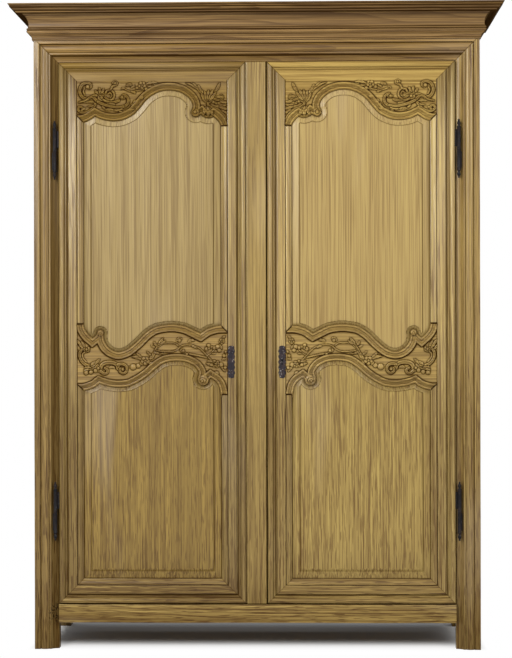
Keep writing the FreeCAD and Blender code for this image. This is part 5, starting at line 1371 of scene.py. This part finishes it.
foot_opening = door_foot + stile_width
# The left door's panels are painted darker than the right's: a painted fall of light across the front,
# brighter on the right.
panel_pale_shaded_left = {("upper", -1): tone(151, 129, 79), ("upper", 1): tone(165, 141, 84),
              ("lower", -1): tone(145, 119, 58), ("lower", 1): tone(163, 139, 76)}
panel_deep_shaded_left = {("upper", -1): tone(137, 115, 66), ("upper", 1): tone(152, 127, 73),
              ("lower", -1): tone(123, 99, 46), ("lower", 1): tone(142, 118, 62)}
for side, (hand, body) in door_slots.items():
    for tier, foot_zone, dashes in (("upper", 0.15, 0.15), ("lower", 0.035, 0.7)):
        if tier == "upper":
            top = door_head - 0.40 * crest_depth
            bottom = mid_level + 0.04 * mid_height
        else:
            top = mid_level - 0.02 * mid_height
            bottom = foot_opening - tongue
        columns = fine_at_ends(-tongue, panel_width + tongue, side_zone, side_zone)
        columns = np.unique(np.concatenate([columns, np.arange(0.03, panel_width - 0.03, panel_even)]))
        levels = fine_at_ends(bottom, top, foot_zone, head_zone)
        across, up = np.meshgrid(columns, levels)
        spots = np.stack([across.ravel(), up.ravel()], axis=1)
        if tier == "upper":
            shape = np.minimum(-over_crest(spots), -head_share * under_head(spots))
        else:
            shape = np.minimum(-foot_share * over_foot(spots), side_share * (spots[:, 1] - foot_opening))
        sides = side_share * np.minimum(spots[:, 0], panel_width - spots[:, 0])
        reach = np.minimum(shape, sides).reshape(across.shape)
        depth = panel_depth(reach)
        keep = reach > -0.014
        # Painted shade: a dark line at the small step up to the field, and a darker line where the panel
        # goes into the frame's groove.
        line = np.exp(-(((reach - bevel_width + 0.0007) / 0.0011) ** 2)) * 0.8
        line = np.maximum(line, 0.95 * np.exp(-((np.maximum(reach, 0) / 0.0026) ** 2)))
        # Painted shade on the bevels beside the mid rail, above its upper edge and below its lower edge.
        if tier == "upper":
            off_head = -under_head(spots).reshape(across.shape)
            line = np.maximum(line, 0.5 * np.exp(-((off_head / 0.010) ** 2)))
        else:
            off_foot = -over_foot(spots).reshape(across.shape)
            line = np.maximum(line, 0.34 * np.exp(-((off_foot / 0.013) ** 4)))
        slab = sheet_of(across, up, keep, depth, panel_back, line, on_door(side))
        panel_oak = waxed_oak(f"{tier}_panel_oak_{hand}", "Z", panel_pale_shaded_left[tier, side],
                              panel_deep_shaded_left[tier, side], 41 + side + 3 * dashes, rings=0.2, dashes=dashes)
        board = (slab[0], facing(slab[1], side), slab[2])
        as_piece(f"{hand}_{tier}_board", board, panel_oak, body, "oak_panels", f"{hand}_{tier}_panel")


# The hinges: four loose-pin hinges of wrought iron. Each has two turned barrels with finials and leaves
# that are let into the wood, one half on the post and one on the door.


def wrought_iron(name, dark, rust, shift, specks_and_glints=0.5):
    """Old hand-forged iron: dark scale with brown rust in patches, and a hammered face."""
    iron = bpy.data.materials.new(name)
    iron.use_nodes = True
    tree = iron.node_tree
    shader = tree.nodes["Principled BSDF"]
    where = tree.nodes.new("ShaderNodeTexCoord").outputs["Object"]
    lie = node_in(tree, "ShaderNodeMapping", Location=(shift, shift, shift))
    tree.links.new(where, lie.inputs["Vector"])

    def speckle(size, detail):
        made = node_in(tree, "ShaderNodeTexNoise", Scale=size, Detail=detail, Roughness=0.6)
        tree.links.new(lie.outputs[0], made.inputs["Vector"])
        return made.outputs["Fac"]

    patches = speckle(70, 5.0)
    grit = speckle(190, 2.0)
    colour = mixed(tree, spread(tree, patches, 0.44, 0.62), dark, rust)
    # Pale specks: bright metal showing through the scale, and painted glints standing for tiny highlights.
    colour = mixed(tree, spread(tree, grit, 0.62, 0.68, 0.0, specks_and_glints), colour, tone(140, 136, 130))
    tree.links.new(colour, shader.inputs["Base Color"])
    tree.links.new(spread(tree, patches, 0.35, 0.65, 0.38, 0.68), shader.inputs["Roughness"])
    shader.inputs["Specular IOR Level"].default_value = 0.12
    dents = reckoned(tree, "ADD", patches, reckoned(tree, "MULTIPLY", grit, 0.4))
    hammered = node_in(tree, "ShaderNodeBump", Strength=0.5, Distance=0.0012)
    tree.links.new(dents, hammered.inputs["Height"])
    tree.links.new(hammered.outputs[0], shader.inputs["Normal"])
    return iron


def turned(profile, x, y, sides=24):
    """Points and faces of a turned form on an upright axis, from radius and height pairs."""
    points = []
    for radius, z in profile:
        for i in range(sides):
            turn = 2 * math.pi * i / sides
            points.append((x + radius * math.cos(turn), y + radius * math.sin(turn), z))
    faces = [tuple(reversed(range(sides))), tuple(range((len(profile) - 1) * sides, len(profile) * sides))]
    for k in range(len(profile) - 1):
        for i in range(sides):
            j = (i + 1) % sides
            faces.append((k * sides + i, k * sides + j, (k + 1) * sides + j, (k + 1) * sides + i))
    return points, faces, [0.0] * len(points)


def plate(low, high, ease=0.0006):
    """Points and faces of a flat plate with eased edges between two corners."""
    (x0, y0, z0), (x1, y1, z1) = low, high
    outline = eased([(x0, y0), (x1, y0), (x1, y1), (x0, y1)], ease, 1.0)
    rings = []
    for z, draw in ((z0, ease), (z0 + ease, 0.0), (z1 - ease, 0.0), (z1, ease)):
        middle = np.array([(x0 + x1) / 2, (y0 + y1) / 2])
        half = np.array([(x1 - x0) / 2, (y1 - y0) / 2])
        drawn = middle + (outline - middle) * (1 - draw / half)
        rings += [(x, y, z) for x, y in drawn]
    count = len(outline)
    faces = [tuple(reversed(range(count))), tuple(range(3 * count, 4 * count))]
    for k in range(3):
        for i in range(count):
            j = (i + 1) % count
            faces.append((k * count + i, k * count + j, (k + 1) * count + j, (k + 1) * count + i))
    return rings, faces, [0.0] * len(rings)


hinge_axis = 0.6905
hinge_levels = (0.472, 1.708)
leaf_near = 0.0056
leaf_far = 0.0077
leaf_tall = 0.058
leaf_gap = 0.008
leaf_on_door = 0.017
leaf_on_post = 0.010
hinge_iron = wrought_iron("hinge_iron", tone(20, 19, 22), tone(36, 29, 27), 2.0, 0.15)
half_profile = (
    (0.0064, 0.0004), (0.0068, 0.0012), (0.0068, 0.0032), (0.0063, 0.0042), (0.0063, 0.0700),
    (0.0070, 0.0712), (0.0070, 0.0742), (0.0060, 0.0752), (0.0044, 0.0775), (0.0040, 0.0800),
    (0.0058, 0.0838), (0.0062, 0.0866), (0.0054, 0.0905), (0.0034, 0.0938), (0.0028, 0.0952),
    (0.0034, 0.0970), (0.0030, 0.0990), (0.0016, 0.1004), (0.0004, 0.1010),
)
frame_halves = []
for side, (hand, body) in door_slots.items():
    door_halves = []
    for hinge_level in hinge_levels:
        above = [(r, hinge_level + h) for r, h in half_profile]
        below = [(r, hinge_level - h) for r, h in reversed(half_profile)]
        door_halves.append(turned(above, side * hinge_axis, front))
        frame_halves.append(turned(below, side * hinge_axis, front))
        on_door_edges = sorted((side * hinge_axis, side * (hinge_edge - leaf_on_door)))
        on_post_edges = sorted((side * hinge_axis, side * (hinge_axis + leaf_on_post)))
        over = hinge_level + leaf_gap
        under = hinge_level - leaf_gap
        door_halves.append(plate((on_door_edges[0], front + leaf_near, over),
                                 (on_door_edges[1], front + leaf_far, over + leaf_tall)))
        frame_halves.append(plate((on_post_edges[0], front + leaf_near, under - leaf_tall),
                                  (on_post_edges[1], front + leaf_far, under)))
    as_piece(f"{hand}_hinge_barrels", joined(*door_halves), hinge_iron, body, "wrought_iron",
             f"{hand}_hinge_halves")
as_piece("post_hinge_barrels", joined(*frame_halves), hinge_iron, "carcass", "wrought_iron",
         "hinge_frame_halves")


# The escutcheons: thin iron plates, cut with lobed edges and pierced, nailed to both lock stiles.
# The right one has the keyhole, and the left one is a blind match for it.
plate_iron = wrought_iron("escutcheon_iron", tone(38, 34, 38), tone(54, 45, 46), 5.0, 0.7)
plate_holes = ((0, 0.66, 0.0016), (0, -0.66, 0.0016), (0.0036, 0.33, 0.0013), (-0.0036, -0.33, 0.0013))
key_round = 0.0040
key_rise = 0.0055
key_slot = 0.0026
key_drop = 0.0110
nail_profile = [(0.0030, 0.0), (0.0030, 0.0005), (0.0024, 0.0013), (0.0013, 0.0019), (0.0002, 0.0021)]
nail_rise = 0.56
plate_half = 0.0006
plate_ease = 0.0005
plate_stand = 0.0012
for side, (hand, body) in door_slots.items():
    plate_low, plate_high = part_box(f"{hand}_escutcheon")
    centre = (plate_low + plate_high) / 2
    half_wide = (plate_high.x - plate_low.x) / 2
    half_tall = (plate_high.z - plate_low.z) / 2
    flank = []
    for i in range(-60, 61):
        rise = i / 60
        end = max(0.0, (abs(rise) - 0.84) / 0.16)
        lobe = 0.84 + 0.14 * math.cos(rise * 6 * math.pi)
        flank.append((half_wide * lobe * math.sqrt(max(0.0, 1 - end**2)) + 0.0004, half_tall * rise))
    edge = flank + [(-x, z) for x, z in reversed(flank)]
    holes = []
    for x, rise, r in plate_holes:
        turns = [a * math.pi / 6 for a in range(12)]
        holes.append([(x + r * math.cos(t), rise * half_tall + 1.5 * r * math.sin(t)) for t in turns])
    if side > 0:
        turns = [a * math.pi / 9 for a in range(-3, 13)]
        keyhole = [(key_round * math.cos(t), key_rise + key_round * math.sin(t)) for t in turns]
        holes.append(keyhole + [(-key_slot, -key_drop), (key_slot, -key_drop)])
    outline_curve = bpy.data.curves.new(f"{hand}_escutcheon_outline", "CURVE")
    outline_curve.dimensions = "2D"
    outline_curve.fill_mode = "BOTH"
    outline_curve.extrude = plate_half
    outline_curve.bevel_depth = plate_ease
    outline_curve.bevel_resolution = 2
    for loop in [edge] + holes:
        spline = outline_curve.splines.new("POLY")
        spline.points.add(len(loop) - 1)
        for point, (x, z) in zip(spline.points, loop):
            point.co = (x, z, 0, 1)
        spline.use_cyclic_u = True
    cutter = bpy.data.objects.new(f"{hand}_escutcheon_outline", outline_curve)
    scene.collection.objects.link(cutter)
    cut_plate = bpy.data.meshes.new_from_object(cutter.evaluated_get(bpy.context.evaluated_depsgraph_get()))
    bpy.data.objects.remove(cutter)
    stand = front + band_depth - plate_stand
    flat_points = [(centre.x + v.co.x, stand - v.co.z, centre.z + v.co.y) for v in cut_plate.vertices]
    flat_faces = [tuple(p.vertices) for p in cut_plate.polygons]
    shells = [(flat_points, flat_faces, [0.0] * len(flat_points))]
    for nail in (-1, 1):
        dome, dome_faces, dome_marks = turned(nail_profile, 0, 0, 14)
        nail_level = centre.z + nail * half_tall * nail_rise
        driven = [(centre.x + x, stand - plate_half - z, nail_level + y) for x, y, z in dome]
        shells.append((driven, dome_faces, dome_marks))
    as_piece(f"{hand}_pierced_escutcheon", joined(*shells), plate_iron, body, "wrought_iron",
             f"{hand}_escutcheon")
# Painted shade: a near-black iron plate behind the keyhole stands for the dark inside of the lock.
keyhole_shade_iron = wrought_iron("keyhole_shade_black", tone(7, 6, 6), tone(13, 10, 9), 9.0, 0.0)
shade_plate_half = 0.0046
shade_plate_down = 0.0128
shade_plate_up = 0.0112
shade_plate_front = front + band_depth - 0.0005
shade_plate_back = front + band_depth + 0.0008
keyhole_shade_shell = plate((centre.x - shade_plate_half, shade_plate_front, centre.z - shade_plate_down),
             (centre.x + shade_plate_half, shade_plate_back, centre.z + shade_plate_up), 0.0003)
as_piece("keyhole_shade_plate", keyhole_shade_shell, keyhole_shade_iron, "right_door", "wrought_iron")


# The lock and the bolts: forged iron parts on the backs of the doors, with the pins of the hinges.
# They keep the shapes of their solids, in a browner iron than the ironwork of the front.


def finished(node_names, finish):
    """A finish put on solids that are seen as they are."""
    for name in node_names:
        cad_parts[name].data.materials.clear()
        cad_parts[name].data.materials.append(finish)


lock_iron = wrought_iron("lock_iron", tone(58, 54, 52), tone(86, 62, 44), 8.0)
finished(("hinge_pins", "lock_case", "lock_spring", "lock_bolt", "lock_keeper", "bolt_guides", "top_bolt",
          "bottom_bolt"), lock_iron)


# The sides and the inside of the carcass: plain oak posts and rails with pegged tenons, panels in grooves,
# and the boards of the floor, top and shelves. They are left drier than the waxed front.
upright_oak = waxed_oak("rear_post_oak", "Z", tone(150, 125, 72), tone(104, 81, 42), 51, dashes=0.7,
                        low_darkening=0.12)
side_rail_oak = waxed_oak("side_rail_oak", "Y", tone(154, 129, 74), tone(108, 85, 44), 53, dashes=0.7,
                          low_darkening=0.12)
back_rail_oak = waxed_oak("back_rail_oak", "X", tone(140, 116, 70), tone(96, 76, 42), 57, dashes=0.7,
                          polish=0.6, gloss=0.1)
side_panel_oak = waxed_oak("side_panel_oak", "Z", tone(162, 138, 82), tone(134, 110, 58), 59, rings=0.25,
                           dashes=0.6, low_darkening=0.12)
level_board_oak = waxed_oak("shelf_oak", "X", tone(160, 136, 88), tone(114, 92, 54), 63, dashes=0.6,
                            polish=0.66, gloss=0.1)
peg_oak = waxed_oak("peg_oak", "X", tone(120, 92, 54), tone(76, 54, 28), 67, dashes=0.4)
for hand in ("left", "right"):
    finished((f"rear_post_{hand}",), upright_oak)
    finished([f"side_{rail}_rail_{hand}" for rail in ("top", "mid", "bottom")], side_rail_oak)
    finished([f"side_panel_{tier}_{hand}" for tier in ("upper", "lower")], side_panel_oak)
finished(("rear_top_rail", "rear_bottom_rail"), back_rail_oak)
finished(("shelf_cleats",), side_rail_oak)
finished(("floor_boards", "top_boards", "shelf_lower", "shelf_middle", "shelf_upper"), level_board_oak)
finished(("carcass_pegs", "left_door_pegs", "right_door_pegs"), peg_oak)


# The back: eight upright oak boards, planed roughly and laid edge to edge in the grooves of the rear frame.
# Their arrises are worn, so each joint reads as a dark line, and no two boards have aged alike.
back_low, back_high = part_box("back_boards")
board_age = (0.06, 0.16, 0.0, 0.10, 0.20, 0.03, 0.13, 0.07)
board_width = (back_high.x - back_low.x) / len(board_age)
board_thick = back_high.y - back_low.y
board_gap = 0.0004
edge_dirt = 0.0025
board_outline = eased([(board_gap, 0), (board_width - board_gap, 0), (board_width - board_gap, board_thick),
                       (board_gap, board_thick)], radius=0.003)
board_shells = []
for i, age in enumerate(board_age):
    board_shells.append(run_of(
        board_outline, (back_low.x + i * board_width, back_low.y, back_low.z), (1, 0, 0), (0, 1, 0),
        (0, 0, 1), back_high.z - back_low.z,
        stain_and_painted_light=lambda u, mark: age if edge_dirt < u < board_width - edge_dirt else 0.85,
    ))
back_board_oak = waxed_oak("back_board_oak", "Z", tone(136, 115, 74), tone(96, 78, 46), 61, dashes=0.8,
                           polish=0.68, gloss=0.08)
as_piece("back_board_set", joined(*board_shells), back_board_oak, "carcass", "oak_boards", "back_boards")
